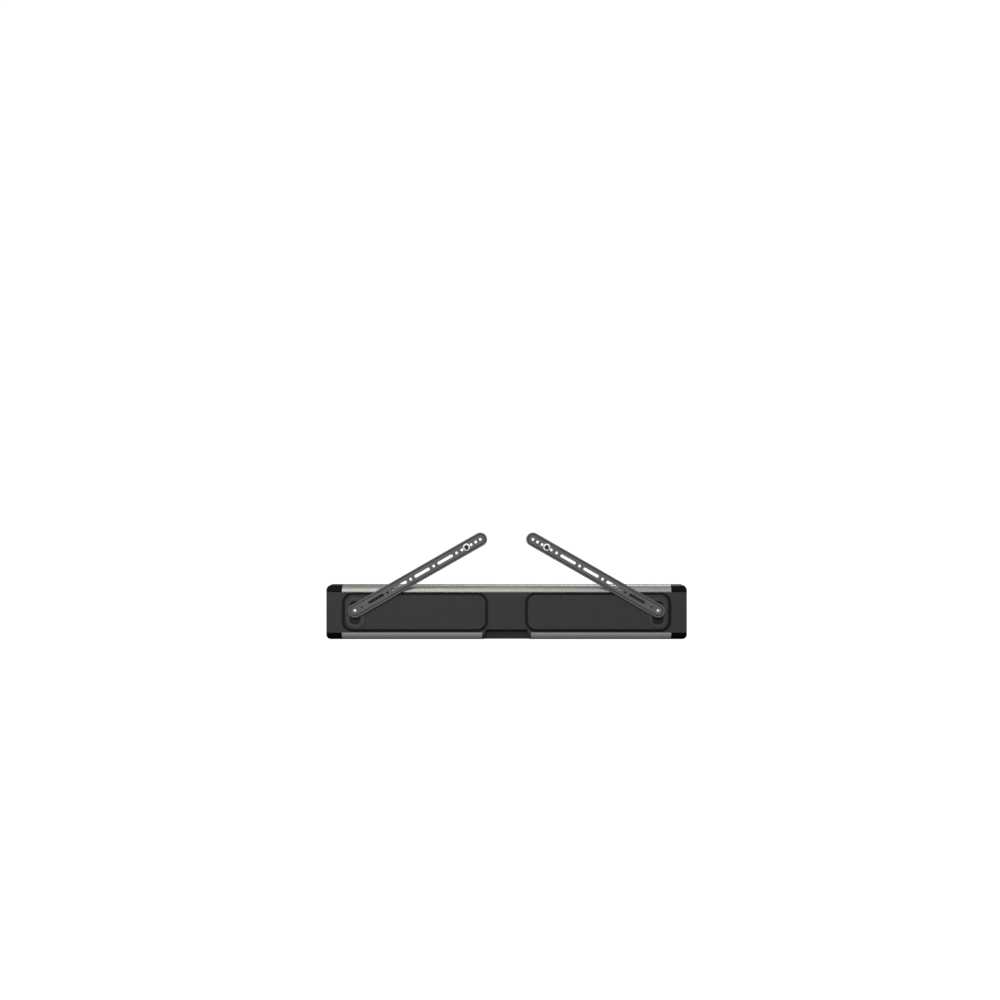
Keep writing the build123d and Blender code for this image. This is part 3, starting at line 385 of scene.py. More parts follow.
@dataclass(frozen=True)
class PlatedSteel(Finish):
    """Plated steel: a slightly clouded metal with hair scratches and a second tone in the plating."""

    second: Colour
    roughness: float = 0.3
    wear: float = 0.15

    def make(self) -> Material:
        """Builds the plating."""
        recipe = Recipe(self.name)
        cloud = recipe.cloud(5 * MM, 4.0)
        hair = recipe.cloud(0.12 * MM, 2.0, (14.0, 1.0, 3.0))
        pits = recipe.cloud(0.5 * MM, 2.0)
        return recipe.surface(
            Base_Color=recipe.mix(cloud, self.tint, self.second),
            Roughness=self.roughness - self.wear / 2 + cloud * self.wear + hair * 0.08,
            Metallic=1.0,
            Normal=recipe.relief(hair * 0.6 + pits * 0.4, 0.03 * MM),
        )


@dataclass(frozen=True)
class AcousticCloth(Finish):
    """Plain-woven polyester: yarns over and under each other, each yarn a slightly different tone, with
    painted shade in the hollows between yarns.
    """

    yarn: float = 0.9 * MM
    depth: float = 0.16 * MM

    def make(self) -> Material:
        """Builds the cloth."""
        recipe = Recipe(self.name)
        across = recipe.axis("X") / self.yarn
        around = (abs(recipe.axis("Z")) + recipe.axis("Y")) / self.yarn
        warp = abs((across * math.pi).sine())
        weft = abs((around * math.pi).sine())
        over = (across.floor() + around.floor()) % 2.0
        crown = over * warp * (0.55 + weft * 0.45) + (1.0 - over) * weft * (0.55 + warp * 0.45)
        yarns = recipe.cloud(self.yarn, 1.0, (1.0, 60.0, 60.0)) * over
        yarns = yarns + recipe.cloud(self.yarn, 1.0, (60.0, 1.0, 1.0)) * (1.0 - over)
        fuzz = recipe.cloud(0.15 * MM, 3.0)
        lit = recipe.mix(yarns, shade(self.tint, 0.55), shade(self.tint, 1.7))
        return recipe.surface(
            # painted shade: where the weave is low, between the yarns' crowns, the colour falls to a quarter
            # of the tint
            Base_Color=recipe.mix(crown, shade(self.tint, 0.25), lit),
            Roughness=0.98 - crown * 0.12,
            Normal=recipe.relief(crown * 0.85 + fuzz * 0.15, self.depth),
            Specular_IOR_Level=0.25,
            Sheen_Weight=0.2,
            Sheen_Roughness=0.5,
        )


@dataclass(frozen=True)
class CircuitBoard(Finish):
    """Solder mask over copper: rows of tracks broken into runs, and plated holes."""

    track: float = 1.3 * MM

    def make(self) -> Material:
        """Builds the board."""
        recipe = Recipe(self.name)
        rows = ((recipe.axis("Z") / self.track) % 1.0).over(0.55)
        runs = recipe.cloud(9 * MM, 0.0, (2.2, 1.0, 0.16)).over(0.5)
        tracks = rows * runs
        holes = recipe.node(
            "ShaderNodeTexVoronoi", {}, {"Vector": recipe.scaled(5 * MM), "Scale": 1.0}, "Distance"
        )
        plated = 1.0 - holes.over(0.13)
        mask = recipe.mix(tracks, self.tint, shade(self.tint, 1.9))
        return recipe.surface(
            Base_Color=recipe.mix(plated, mask, (0.62, 0.55, 0.36)),
            Roughness=0.42 - plated * 0.15,
            Metallic=plated,
            Normal=recipe.relief(tracks * 0.6 + plated * 0.4, 0.04 * MM),
        )


@dataclass(frozen=True)
class PressedPaper(Finish):
    """Black-dyed paper pulp: short fibres and a dry, uneven surface."""

    fibre: float = 0.4 * MM

    def make(self) -> Material:
        """Builds the paper."""
        recipe = Recipe(self.name)
        level = recipe.cloud(self.fibre, 4.0, (3.0, 1.0, 1.0))
        upright = recipe.cloud(self.fibre, 4.0, (1.0, 1.0, 3.0))
        fibres = level * 0.5 + upright * 0.5
        pulp = recipe.cloud(6 * MM, 4.0)
        return recipe.surface(
            Base_Color=recipe.mix(fibres * 0.6 + pulp * 0.4, shade(self.tint, 0.6), shade(self.tint, 1.6)),
            Roughness=0.85 + fibres * 0.1,
            Normal=recipe.relief(fibres, 0.08 * MM),
            Specular_IOR_Level=0.3,
        )


@dataclass(frozen=True)
class WoundTape(Finish):
    """Insulating tape round a coil: overlapping turns with painted shade that follows their relief, and a
    satin film.
    """

    turn: float = 4.0 * MM

    def make(self) -> Material:
        """Builds the tape."""
        recipe = Recipe(self.name)
        turns = (recipe.axis("Z") / self.turn + recipe.cloud(30 * MM) * 0.2) % 1.0
        film = recipe.cloud(2 * MM, 3.0)
        return recipe.surface(
            # painted shade: each turn is darker at its bottom and lighter towards its top, following its
            # relief
            Base_Color=recipe.mix(turns * 0.6 + film * 0.4, shade(self.tint, 0.75), shade(self.tint, 1.15)),
            Roughness=0.32 + film * 0.15,
            Normal=recipe.relief(turns, 0.1 * MM),
        )


@dataclass(frozen=True)
class LightPipe(Finish):
    """Milky clear plastic that carries a small lamp's light to the front."""

    def make(self) -> Material:
        """Builds the light pipe."""
        recipe = Recipe(self.name)
        haze = recipe.cloud(0.6 * MM, 2.0)
        return recipe.surface(
            Base_Color=recipe.mix(haze, shade(self.tint, 0.85), self.tint),
            Roughness=0.2 + haze * 0.1,
            Subsurface_Weight=0.6,
            Subsurface_Scale=1.5 * MM,
            IOR=1.49,
        )


@dataclass(frozen=True)
class PaperSweep(Finish):
    """Grey studio paper that glows white to the camera, so that hardly a shadow shows on it."""

    glow: Colour = (1.0, 1.0, 1.0)

    def make(self) -> Material:
        """Builds the paper."""
        recipe = Recipe(self.name)
        fibres = recipe.cloud(2 * MM, 3.0)
        seen = recipe.node("ShaderNodeLightPath", out="Is Camera Ray")
        return recipe.surface(
            Base_Color=recipe.mix(fibres, shade(self.tint, 0.98), shade(self.tint, 1.02)),
            Roughness=0.95,
            Specular_IOR_Level=0.0,
            Emission_Color=recipe.mix(seen, (0.0, 0.0, 0.0), self.glow),
            Emission_Strength=1.0,
        )


class Finishes:
    """Every finish. Those in BY_SLOT have the name of the frame's slot that they go on."""

    COVER = MouldedPlastic(
        "cover_plastic", (0.043, 0.043, 0.044), 0.56, 0.7 * MM, 0.11 * MM, 0.35, painted_shade_below_y=-3.0 * MM
    )
    # painted shade: the caps' colour is darkened below the plastic's own black, standing in for the shade
    # that falls on them from above
    CAP = MouldedPlastic("cap_plastic", (0.004, 0.004, 0.0042), 0.42, 0.7 * MM, 0.11 * MM, 0.05)
    CHASSIS = MouldedPlastic("chassis_plastic", (0.02, 0.02, 0.021), 0.5, 1.2 * MM, 0.12 * MM)
    BEZEL = MouldedPlastic("bezel_plastic", (0.049, 0.049, 0.05), 0.5, 0.5 * MM, 0.07 * MM)
    BAY = MouldedPlastic("bay_plastic", (0.037, 0.037, 0.038), 0.55, 0.7 * MM, 0.1 * MM)
    FRAME = MouldedPlastic("grille_frame", (0.012, 0.012, 0.013), 0.65, 0.8 * MM, 0.04 * MM)
    PAD = SoftRubber("pad_rubber", (0.046, 0.046, 0.047))
    SURROUND = SoftRubber("surround_rubber", (0.012, 0.012, 0.012), 0.6, 0.2)
    # painted light: the trims are one aluminium, given a darker shaded copy on top for the shade that falls
    # there, and a paler, partly non-metallic lit copy below
    TOP_TRIM_SHADED = DrawnAluminium("trim_aluminium", (0.293, 0.284, 0.267), 0.44)
    LOWER_TRIM_LIT = DrawnAluminium("trim_aluminium_lower_lit", (0.97, 0.95, 0.93), 0.31, 0.7)
    ARM = PowderCoat("arm_aluminium", (0.138, 0.139, 0.141), 0.46, painted_shade_below_y=4.4 * MM)
    ZINC = PlatedSteel("zinc_steel", (0.97, 0.97, 0.97), (0.90, 0.91, 0.94), 0.44)
    BLACK_STEEL = PlatedSteel("black_steel", (0.05, 0.05, 0.052), (0.03, 0.029, 0.028), 0.4)
    PLATE = PlatedSteel("plate_steel", (0.05, 0.05, 0.053), (0.03, 0.03, 0.03), 0.45)
    BASKET = PowderCoat("basket_steel", (0.03, 0.03, 0.032), 0.45, metal=0.3)
    MAGNET = PowderCoat("magnet", (0.06, 0.058, 0.055), 0.6, 1.6 * MM, 0.08 * MM, 0.4)
    CONE = PressedPaper("cone_paper", (0.022, 0.022, 0.022))
    DOME = AcousticCloth("dome_fabric", (0.03, 0.03, 0.032), 0.35 * MM, 0.05 * MM)
    CLOTH = AcousticCloth("grille_cloth", (0.075, 0.075, 0.078), 1.1 * MM)
    BOARD = CircuitBoard("board_laminate", (0.012, 0.07, 0.028))
    CHIP = MouldedPlastic("chip_plastic", (0.018, 0.018, 0.019), 0.45, 0.25 * MM, 0.01 * MM)
    SHIELD = PlatedSteel("shield_tin", (0.74, 0.74, 0.73), (0.6, 0.61, 0.62), 0.35)
    SINK = DrawnAluminium("sink_aluminium", (0.1, 0.1, 0.105), 0.5, 0.8)
    TAPE = WoundTape("transformer", (0.75, 0.52, 0.06))
    SLEEVE = MouldedPlastic("capacitor", (0.02, 0.03, 0.11), 0.3, 1.5 * MM, 0.01 * MM)
    BUTTON = MouldedPlastic("button_plastic", (0.026, 0.026, 0.027), 0.42, 0.4 * MM, 0.05 * MM)
    SYMBOL = MouldedPlastic("symbol_plastic", (0.36, 0.36, 0.37), 0.5, 0.4 * MM, 0.01 * MM)
    LIGHT = LightPipe("light_pipe", (0.85, 0.87, 0.9))
    JACK = MouldedPlastic("jack_plastic", (0.016, 0.016, 0.017), 0.4, 0.3 * MM, 0.012 * MM)
    GOLD = PlatedSteel("contact_gold", (0.94, 0.72, 0.34), (0.86, 0.62, 0.26), 0.25)
    FLOOR = PaperSweep("studio_floor", (0.12, 0.12, 0.12))

    BY_SLOT = {
        finish.name: finish
        for finish in (
            *(COVER, CAP, CHASSIS, PAD, BEZEL, TOP_TRIM_SHADED, FRAME, CLOTH, BAY, ZINC, BLACK_STEEL, PLATE, ARM),
            *(BASKET, MAGNET, CONE, SURROUND, DOME, BOARD, CHIP, SHIELD, SINK, TAPE, SLEEVE, BUTTON),
            *(LIGHT, JACK),
        )
    }
    BY_NODE = {"bottom_trim_left": LOWER_TRIM_LIT, "bottom_trim_right": LOWER_TRIM_LIT}


# ---------------------------------------------------------------- meshes

RadiusRule = Callable[[float, float], float]  # a radius from the angle and the place along the axis


@dataclass(frozen=True)
class Shape:
    """Points and faces of a closed mesh in the making."""

    points: list[Vector]
    faces: list[Face]


def merged(shapes: Sequence[Shape]) -> Shape:
    """Several shapes as one."""
    points: list[Vector] = []
    faces: list[Face] = []
    for shape in shapes:
        start = len(points)
        points += shape.points
        faces += [tuple(index + start for index in face) for face in shape.faces]
    return Shape(points, faces)


def hexagon_rule(flat: float, corner: float = math.inf) -> RadiusRule:
    """A hexagon with flats this far from its middle, its corners cut back to a round of this radius."""
    sixth = math.pi / 3

    def rule(angle: float, _along: float) -> float:
        return min(corner, flat / math.cos((angle % sixth) - sixth / 2))

    return rule


def knurled_rule(radius: float, depth: float, count: int) -> RadiusRule:
    """A round section with ridges along the axis."""
    return lambda angle, _along: radius - depth * abs(math.sin(count * angle / 2))


def cross_rule(reach: float, width: float) -> RadiusRule:
    """A cross recess: four arms of this reach and half width."""
    quarter = math.pi / 2

    def rule(angle: float, _along: float) -> float:
        turn = abs((angle % quarter) - quarter / 2)
        across = quarter / 2 - turn
        return min(reach, width / max(math.sin(across), width / reach))

    return rule


@dataclass(frozen=True)
class Ring:
    """One section of a turned piece: its place along the axis, and its radius or radius rule."""

    along: float
    radius: float | RadiusRule

    def reach(self, angle: float) -> float:
        """The radius at an angle."""
        if callable(self.radius):
            return self.radius(angle, self.along)
        return self.radius


@dataclass(frozen=True)
class Thread:
    """A right-handed screw thread: its radius at the crests, its depth and its pitch."""

    crest: float
    depth: float
    pitch: float
    slope: float = 2.4  # of its flanks, in depths for each pitch
    land: float = 0.1  # of its flat crests, in depths
    steps: int = 8  # sections in each turn

    def radius(self, angle: float, along: float) -> float:
        """The radius at an angle and a place along the axis."""
        phase = (along / self.pitch - angle / math.tau) % 1.0
        return self.crest - self.depth * min(1.0, max(0.0, self.slope * abs(phase - 0.5) - self.land))

    def rings(self, start: float, count: int) -> list[Ring]:
        """This many sections from a place along the axis towards +Y."""
        return [Ring(start + index * self.pitch / self.steps, self.radius) for index in range(count)]


@dataclass(frozen=True)
class Turned:
    """A piece made on a lathe or mill, its axis along Y through a place.

    Args:
        middle: x and z of the axis.
        rings: its sections in order. Those of a bored piece go along its outside and back through its bore.
        bored: whether the last section meets the first.
        segments: points round each section.
    """

    middle: Place
    rings: Sequence[Ring]
    bored: bool = False
    segments: int = 72

    def shape(self) -> Shape:
        """Builds the points and faces.

        Returns:
            The closed shape.
        """
        points: list[Vector] = []
        for ring in self.rings:
            for step in range(self.segments):
                angle = math.tau * step / self.segments
                reach = ring.reach(angle)
                across = self.middle[0] + reach * math.cos(angle)
                up = self.middle[1] + reach * math.sin(angle)
                points.append(Vector((across, ring.along, up)))
        count = len(self.rings)
        faces: list[Face] = []
        for index in range(count if self.bored else count - 1):
            here = index * self.segments
            there = (index + 1) % count * self.segments
            for step in range(self.segments):
                after = (step + 1) % self.segments
                faces.append((here + step, there + step, there + after, here + after))
        if not self.bored:
            last = (count - 1) * self.segments
            faces.append(tuple(range(self.segments)))
            faces.append(tuple(reversed(range(last, last + self.segments))))
        return Shape(points, faces)


def rounded_box(low: Vector, high: Vector, edge: float) -> Shape:
    """A small box whose edges are all cut by a narrow bevel.

    Args:
        low: its lowest corner.
        high: its highest corner.
        edge: width of the bevel.

    Returns:
        The closed shape.
    """
    points: list[Vector] = []
    for depth, inset in ((low.y, edge), (low.y + edge, 0.0), (high.y - edge, 0.0), (high.y, edge)):
        x0, x1 = low.x + inset, high.x - inset
        z0, z1 = low.z + inset, high.z - inset
        corners = [(x0 + edge, z0), (x1 - edge, z0), (x1, z0 + edge), (x1, z1 - edge)]
        corners += [(x1 - edge, z1), (x0 + edge, z1), (x0, z1 - edge), (x0, z0 + edge)]
        points += [Vector((x, depth, z)) for x, z in corners]
    sides = 8
    top = len(points) - sides
    faces: list[Face] = [tuple(reversed(range(sides))), tuple(range(top, top + sides))]
    for layer in range(top // sides):
        for step in range(sides):
            after = (step + 1) % sides
            here = layer * sides
            faces.append((here + step, here + sides + step, here + sides + after, here + after)[::-1])
    return Shape(points, faces)


@dataclass(frozen=True)
class Piece:
    """A shown piece: its shape, its body, its finish and the parts of the frame that it stands for."""

    name: str
    shape: Shape
    body: str
    finish: Finish
    slot: str
    replaces: tuple[str, ...] = ()
    sharp: float = 32.0  # degrees between two faces above which their edge stays crisp

    def place(self) -> bpy.types.Object:
        """Makes the object and puts it on its body.

        Returns:
            The new object.
        """
        mesh = bpy.data.meshes.new(self.name)
        mesh.from_pydata(self.shape.points, [], self.shape.faces)
        mesh.validate()
        mesh.materials.append(self.finish.material())
        made = bpy.data.objects.new(self.name, mesh)
        bpy.context.scene.collection.objects.link(made)
        self._turn_outwards(mesh)
        mesh.shade_smooth()
        mesh.set_sharp_from_angle(angle=math.radians(self.sharp))
        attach(made, self.body)
        if self.replaces:
            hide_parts(*self.replaces)
        LOG.info("made %s on %s", self.name, self.body)
        return made

    @staticmethod
    def _turn_outwards(mesh: bpy.types.Mesh) -> None:
        """Flips a closed mesh whose faces look inwards."""
        mesh.calc_loop_triangles()
        volume = 0.0
        for triangle in mesh.loop_triangles:
            first, second, third = (mesh.vertices[index].co for index in triangle.vertices)
            volume += first.dot(second.cross(third))
        if volume < 0:
            mesh.flip_normals()


def middle_of(node: str) -> Place:
    """The x and z of the middle of a node of the frame."""
    low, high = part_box(node)
    return (low.x + high.x) / 2, (low.z + high.z) / 2


def reach_of(node: str) -> tuple[float, float]:
    """The lowest and highest y of a node of the frame."""
    low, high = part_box(node)
    return low.y, high.y


def eased(start: float, end: float, radius_in: float, radius_out: float, steps: int = 5) -> list[Ring]:
    """Rings round a quarter turn from one place and radius to another.

    Args:
        start: place along the axis of the first ring.
        end: place along the axis of the last.
        radius_in: radius of the first ring.
        radius_out: radius of the last.
        steps: how many rings follow the first.

    Returns:
        The rings, the first and last included.
    """
    rings: list[Ring] = []
    for step in range(steps + 1):
        turn = math.pi / 2 * step / steps
        along = start + (end - start) * math.sin(turn)
        radius = radius_out + (radius_in - radius_out) * math.cos(turn)
        rings.append(Ring(along, radius))
    return rings


# ---------------------------------------------------------------- sub-assemblies


@dataclass(frozen=True)
class Hanger:
    """The nut, spacer and screw that hang an arm on one keyhole."""

    side: Side
    nut_flat: float = 5.0 * MM
    nut_face: float = 4.8 * MM  # radius of its flat faces
    nut_corner: float = 0.985  # share of the corners' reach that is left when they are rounded
    nut_chamfer: float = 5.1 * MM  # radius of the chamfers that cut them
    nut_bore: float = 2.55 * MM
    spacer_radius: float = 7.0 * MM
    spacer_bore: float = 2.6 * MM
    edge: float = 0.4 * MM
    thread: Thread = Thread(2.48 * MM, 0.3 * MM, 0.8 * MM)
    turns: int = 8
    head_radius: float = 4.6 * MM
    head_height: float = 2.8 * MM
    head_side: float = 1.12 * MM  # from the shoulder to where the dome starts
    dome_end: Pair = (0.1 * MM, 3.3 * MM)  # below the head's top, and its radius
    crown: Pair = (0.02 * MM, 2.7 * MM)  # the same of the nearly flat top's rim
    recess_mouth: Pair = (2.2 * MM, 0.62 * MM)  # reach and half width of the cross
    recess_floor: Pair = (1.2 * MM, 0.45 * MM)
    recess: float = 1.5 * MM  # depth of the cross

    def build(self) -> None:
        """Makes the three pieces."""
        self._nut().place()
        self._spacer().place()
        self._screw().place()

    def _piece(self, node: str, turned: Turned) -> Piece:
        """A zinc-plated piece that stands for one node of the hanger."""
        name = self.side.name_of(node)
        body = self.side.name_of("hanger")
        return Piece(f"{name}_zinc", turned.shape(), body, Finishes.ZINC, "zinc_steel", (name,))

    def _nut(self) -> Piece:
        """A hexagon nut with rounded corners and a countersunk bore."""
        node = self.side.name_of("keyhole_nut")
        front, rear = reach_of(node)
        corner = self.nut_flat / math.cos(math.pi / 6)
        body = hexagon_rule(self.nut_flat, corner * self.nut_corner)
        chamfer = hexagon_rule(self.nut_flat, self.nut_chamfer)
        rings = [
            Ring(front, self.nut_bore + self.edge),
            Ring(front, self.nut_face),
            Ring(front + self.edge, chamfer),
            Ring(front + 2 * self.edge, body),
            Ring(rear - 2 * self.edge, body),
            Ring(rear - self.edge, chamfer),
            Ring(rear, self.nut_face),
            Ring(rear, self.nut_bore + self.edge),
            Ring(rear - self.edge, self.nut_bore),
            Ring(front + self.edge, self.nut_bore),
        ]
        return self._piece("keyhole_nut", Turned(middle_of(node), rings, bored=True))

    def _spacer(self) -> Piece:
        """A turned spacer with a relief groove round its middle."""
        node = self.side.name_of("hanger_spacer")
        front, rear = reach_of(node)
        waist = (front + rear) / 2
        rings = [
            Ring(front, self.spacer_bore + self.edge),
            *eased(front, front + self.edge, self.spacer_radius - self.edge, self.spacer_radius, 3),
            Ring(waist - self.edge, self.spacer_radius),
            Ring(waist, self.spacer_radius - self.edge / 2),
            Ring(waist + self.edge, self.spacer_radius),
            Ring(rear - self.edge, self.spacer_radius),
            Ring(rear - self.edge / 3, self.spacer_radius - self.edge / 3),
            Ring(rear, self.spacer_radius - self.edge),
            Ring(rear, self.spacer_bore + self.edge),
            Ring(rear - self.edge, self.spacer_bore),
            Ring(front + self.edge, self.spacer_bore),
        ]
        return self._piece("hanger_spacer", Turned(middle_of(node), rings, bored=True))

    def _screw(self) -> Piece:
        """A pan-head screw with a cross recess and a rolled thread."""
        node = self.side.name_of("pivot_screw")
        front, rear = reach_of(node)
        shoulder = rear - self.head_height
        dome_start = shoulder + self.head_side
        dome_depth, dome_radius = self.dome_end
        crown_depth, crown_radius = self.crown
        thread = self.thread
        rings = [
            Ring(front, thread.crest - 2 * thread.depth),
            *thread.rings(front + self.edge, self.turns * thread.steps),
            Ring(front + self.edge + self.turns * thread.pitch, thread.crest),
            Ring(shoulder, thread.crest),
            Ring(shoulder, self.head_radius - self.edge / 2),
            Ring(shoulder + self.edge / 2, self.head_radius),
            *eased(dome_start, rear - dome_depth, self.head_radius, dome_radius),
            Ring(rear - crown_depth, crown_radius),
            Ring(rear, cross_rule(*self.recess_mouth)),
            Ring(rear - self.recess, cross_rule(*self.recess_floor)),
        ]
        return self._piece("pivot_screw", Turned(middle_of(node), rings))


@dataclass(frozen=True)
class TelevisionFixing:
    """The socket screw and washer that fix an arm's upper end to the television."""

    side: Side
    head_radius: float = 5.0 * MM
    head_height: float = 6.0 * MM
    knurl: float = 0.16 * MM
    knurls: int = 36
    socket_flat: float = 2.5 * MM
    socket_mouth: float = 3.25 * MM  # radius of the bevel round the socket
    socket_depth: float = 3.2 * MM
    drill_point: float = 0.3 * MM  # radius left in the middle of the socket's floor
    neck_radius: float = 2.9 * MM
    thread: Thread = Thread(3.0 * MM, 0.5 * MM, 1.0 * MM)
    thread_end: float = 1.0 * MM  # the level of Y where the neck starts
    point_radius: float = 2.2 * MM
    edge: float = 0.5 * MM
    washer_rim: float = 0.4 * MM
    washer_radius: float = 9.0 * MM
    washer_bore: float = 3.2 * MM
    segments: int = 144

    def build(self) -> None:
        """Makes the screw and the washer."""
        body = self.side.name_of("arm")
        screw = self.side.name_of("tv_screw")
        washer = self.side.name_of("tv_washer")
        bolt = self._screw(screw).shape()
        disc = self._washer(washer).shape()
        Piece(f"{screw}_socket", bolt, body, Finishes.BLACK_STEEL, "black_steel", (screw,)).place()
        Piece(f"{washer}_zinc", disc, body, Finishes.ZINC, "zinc_steel", (washer,)).place()

    def _screw(self, node: str) -> Turned:
        """A cap screw: rolled thread, plain neck, knurled head and hexagon socket."""
        front, rear = reach_of(node)
        shoulder = rear - self.head_height
        head_core = self.head_radius - self.knurl
        count = int((self.thread_end - front - self.edge) * self.thread.steps / self.thread.pitch)
        knurled = knurled_rule(self.head_radius, self.knurl, self.knurls)
        socket = hexagon_rule(self.socket_flat)
        rings = [
            Ring(front, self.point_radius),
            *self.thread.rings(front + self.edge, count),
            Ring(self.thread_end, self.neck_radius),
            Ring(shoulder, self.neck_radius),
            Ring(shoulder, self.head_radius - self.edge),
            Ring(shoulder + self.edge, self.head_radius),
            Ring(shoulder + 2 * self.edge, knurled),
            Ring(rear - 3 * self.edge, knurled),
            Ring(rear - 2 * self.edge, head_core),
            *eased(rear - self.edge, rear, head_core, self.head_radius - 2 * self.edge),
            Ring(rear, self.socket_mouth),
            Ring(rear - self.edge, socket),
            Ring(rear - self.socket_depth, socket),
            Ring(rear - self.socket_depth - self.edge, self.drill_point),
        ]
        return Turned(middle_of(node), rings, segments=self.segments)

    def _washer(self, node: str) -> Turned:
        """A stamped washer: rounded on the punch side, crisp on the other."""
        front, rear = reach_of(node)
        rim = self.washer_rim
        rings = [
            Ring(front, self.washer_bore),
            Ring(front, self.washer_radius - rim / 3),
            Ring(front + rim / 3, self.washer_radius),
            *eased(rear - rim, rear, self.washer_radius, self.washer_radius - rim),
            Ring(rear, self.washer_bore + rim),
            Ring(rear - rim / 3, self.washer_bore + rim / 4),
            Ring(rear - rim, self.washer_bore),
        ]
        return Turned(middle_of(node), rings, bored=True, segments=self.segments)


@dataclass(frozen=True)
class Grille:
    """The cloth stretched over the bar's front, wrapped round to the trims."""

    thickness: float = 0.8 * MM
    front_radius: float = 24.0 * MM
    column: float = 5.0 * MM  # width of its faces, along X
    row: float = 3.0 * MM  # length of its faces, round the section
    corner_steps: int = 10
    dish: float = 0.25 * MM  # how far the cloth sinks over each driver's window
    window: float = 43.0 * MM  # radius of a woofer's window
    drivers: int = 6
    crease: float = 60.0  # degrees above which an edge of the cloth stays crisp
    flatness: float = 0.008 * MM  # how near to the foremost plane a point lies on the front

    def build(self) -> None:
        """Makes the cloth as one closed sheet."""
        low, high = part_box("grille_cloth")
        windows = [middle_of(f"woofer_cone_{number + 1}") for number in range(self.drivers)]
        outside = self._outline(low, high, 0.0)
        inside = self._outline(low, high, self.thickness)
        shape = self._sheet(low.x, high.x, (outside, inside), windows)
        made = Piece(
            "grille_cloth_woven",
            shape,
            "enclosure",
            Finishes.CLOTH,
            "grille_cloth",
            ("grille_cloth",),
            self.crease,
        ).place()

    def _outline(self, low: Vector, high: Vector, inset: float) -> list[Vector]:
        """The cloth's section from its top edge round the front to its bottom edge.

        Args:
            low: lowest corner of the cloth.
            high: highest corner of the cloth.
            inset: how far inside the outer face the section lies.

        Returns:
            Its points, with x left at nothing.
        """
        top, bottom = high.z - inset, low.z + inset
        front = low.y + inset
        radius = self.front_radius - inset
        points: list[Vector] = []
        fold = front + radius
        flats = round((high.y - low.y - self.front_radius) / self.row)
        for step in range(flats):
            points.append(Vector((0, high.y + (fold - high.y) * step / flats, top)))
        for step in range(self.corner_steps):
            turn = math.pi / 2 * step / self.corner_steps
            z = top - radius + radius * math.cos(turn)
            points.append(Vector((0, fold - radius * math.sin(turn), z)))
        drop = top - bottom - 2 * radius
        rows = round(drop / self.row)
        for step in range(rows + 1):
            points.append(Vector((0, front, top - radius - drop * step / rows)))
        upper = points[: flats + self.corner_steps]
        lower = [Vector((0, point.y, top + bottom - point.z)) for point in reversed(upper)]
        return points + lower

    def _sink(self, x: float, z: float, windows: list[Place]) -> float:
        """How far the cloth sinks at a place on the front."""
        deepest = 0.0
        for across, up in windows:
            share = math.hypot(x - across, z - up) / self.window
            if share < 1.0:
                deepest = max(deepest, self.dish * math.cos(share * math.pi / 2) ** 2)
        return deepest

    def _sheet(
        self, start: float, end: float, outlines: tuple[list[Vector], list[Vector]], windows: list[Place]
    ) -> Shape:
        """The outer and inner faces of the cloth, closed along its edges.

        Args:
            start: x of its left end.
            end: x of its right end.
            outlines: the sections of its outer and inner faces.
            windows: middles of the windows that it sinks over.

        Returns:
            The closed sheet.
        """
        columns = round((end - start) / self.column)
        points: list[Vector] = []
        for outline in outlines:
            front = min(point.y for point in outline)
            for column in range(columns + 1):
                x = start + (end - start) * column / columns
                for point in outline:
                    flat = point.y < front + self.flatness
                    sink = self._sink(x, point.z, windows) if flat else 0.0
                    points.append(Vector((x, point.y + sink, point.z)))
        rows = len(outlines[0])
        layer = (columns + 1) * rows
        faces: list[Face] = []
        for column in range(columns):
            for row in range(rows - 1):
                here = column * rows + row
                quad = (here, here + rows, here + rows + 1, here + 1)
                faces.append(quad)
                faces.append(tuple(layer + index for index in reversed(quad)))
            for row in (0, rows - 1):
                here = column * rows + row
                edge = (here, layer + here, layer + here + rows, here + rows)
                faces.append(edge if row == 0 else edge[::-1])
        for column in (0, columns):
            for row in range(rows - 1):
                here = column * rows + row
                edge = (here, here + 1, layer + here + 1, layer + here)
                faces.append(edge if column == 0 else edge[::-1])
        return Shape(points, faces)


class Mark(Enum):
    """The generic signs on the buttons."""

    PLUS = "plus"
    MINUS = "minus"
    MUTE = "mute"


@dataclass(frozen=True)
class ButtonMark:
    """A raised sign on one of the buttons on the bar's end."""

    button: str
    body: str
    mark: Mark
    reach: float = 2.6 * MM
    stroke: float = 0.45 * MM
    spread: float = 1.35 * MM  # of the mute sign's two bars from the middle
    rise: float = 0.2 * MM
    sink: float = 0.3 * MM
    bevel: float = 0.1 * MM

    def build(self) -> None:
        """Makes the sign's bars and puts them on the button."""
        low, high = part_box(self.button)
        middle = Vector((high.x, (low.y + high.y) / 2, (low.z + high.z) / 2))
        shape = merged([self._bar(middle, *places) for places in self._places()])
        name = f"{self.button}_{self.mark.value}_mark"
        Piece(name, shape, self.body, Finishes.SYMBOL, "button_plastic").place()

    def _places(self) -> list[tuple[float, float, float, float]]:
        """The y and z of each bar's middle on the button, and its half sizes along them."""
        if self.mark is Mark.MUTE:
            return [(side * self.spread, 0.0, self.stroke, self.reach) for side in (-1, 1)]
        places = [(0.0, 0.0, self.reach, self.stroke)]
        if self.mark is Mark.PLUS:
            half = (self.reach - self.stroke) / 2
            places += [(0.0, side * (self.stroke + half), self.stroke, half) for side in (-1, 1)]
        return places

    def _bar(self, middle: Vector, y: float, z: float, half_y: float, half_z: float) -> Shape:
        """One bar of the sign, standing a little out of the button's face."""
        low = Vector((middle.x - self.sink, middle.y + y - half_y, middle.z + z - half_z))
        high = Vector((middle.x + self.rise, middle.y + y + half_y, middle.z + z + half_z))
        return rounded_box(low, high, self.bevel)


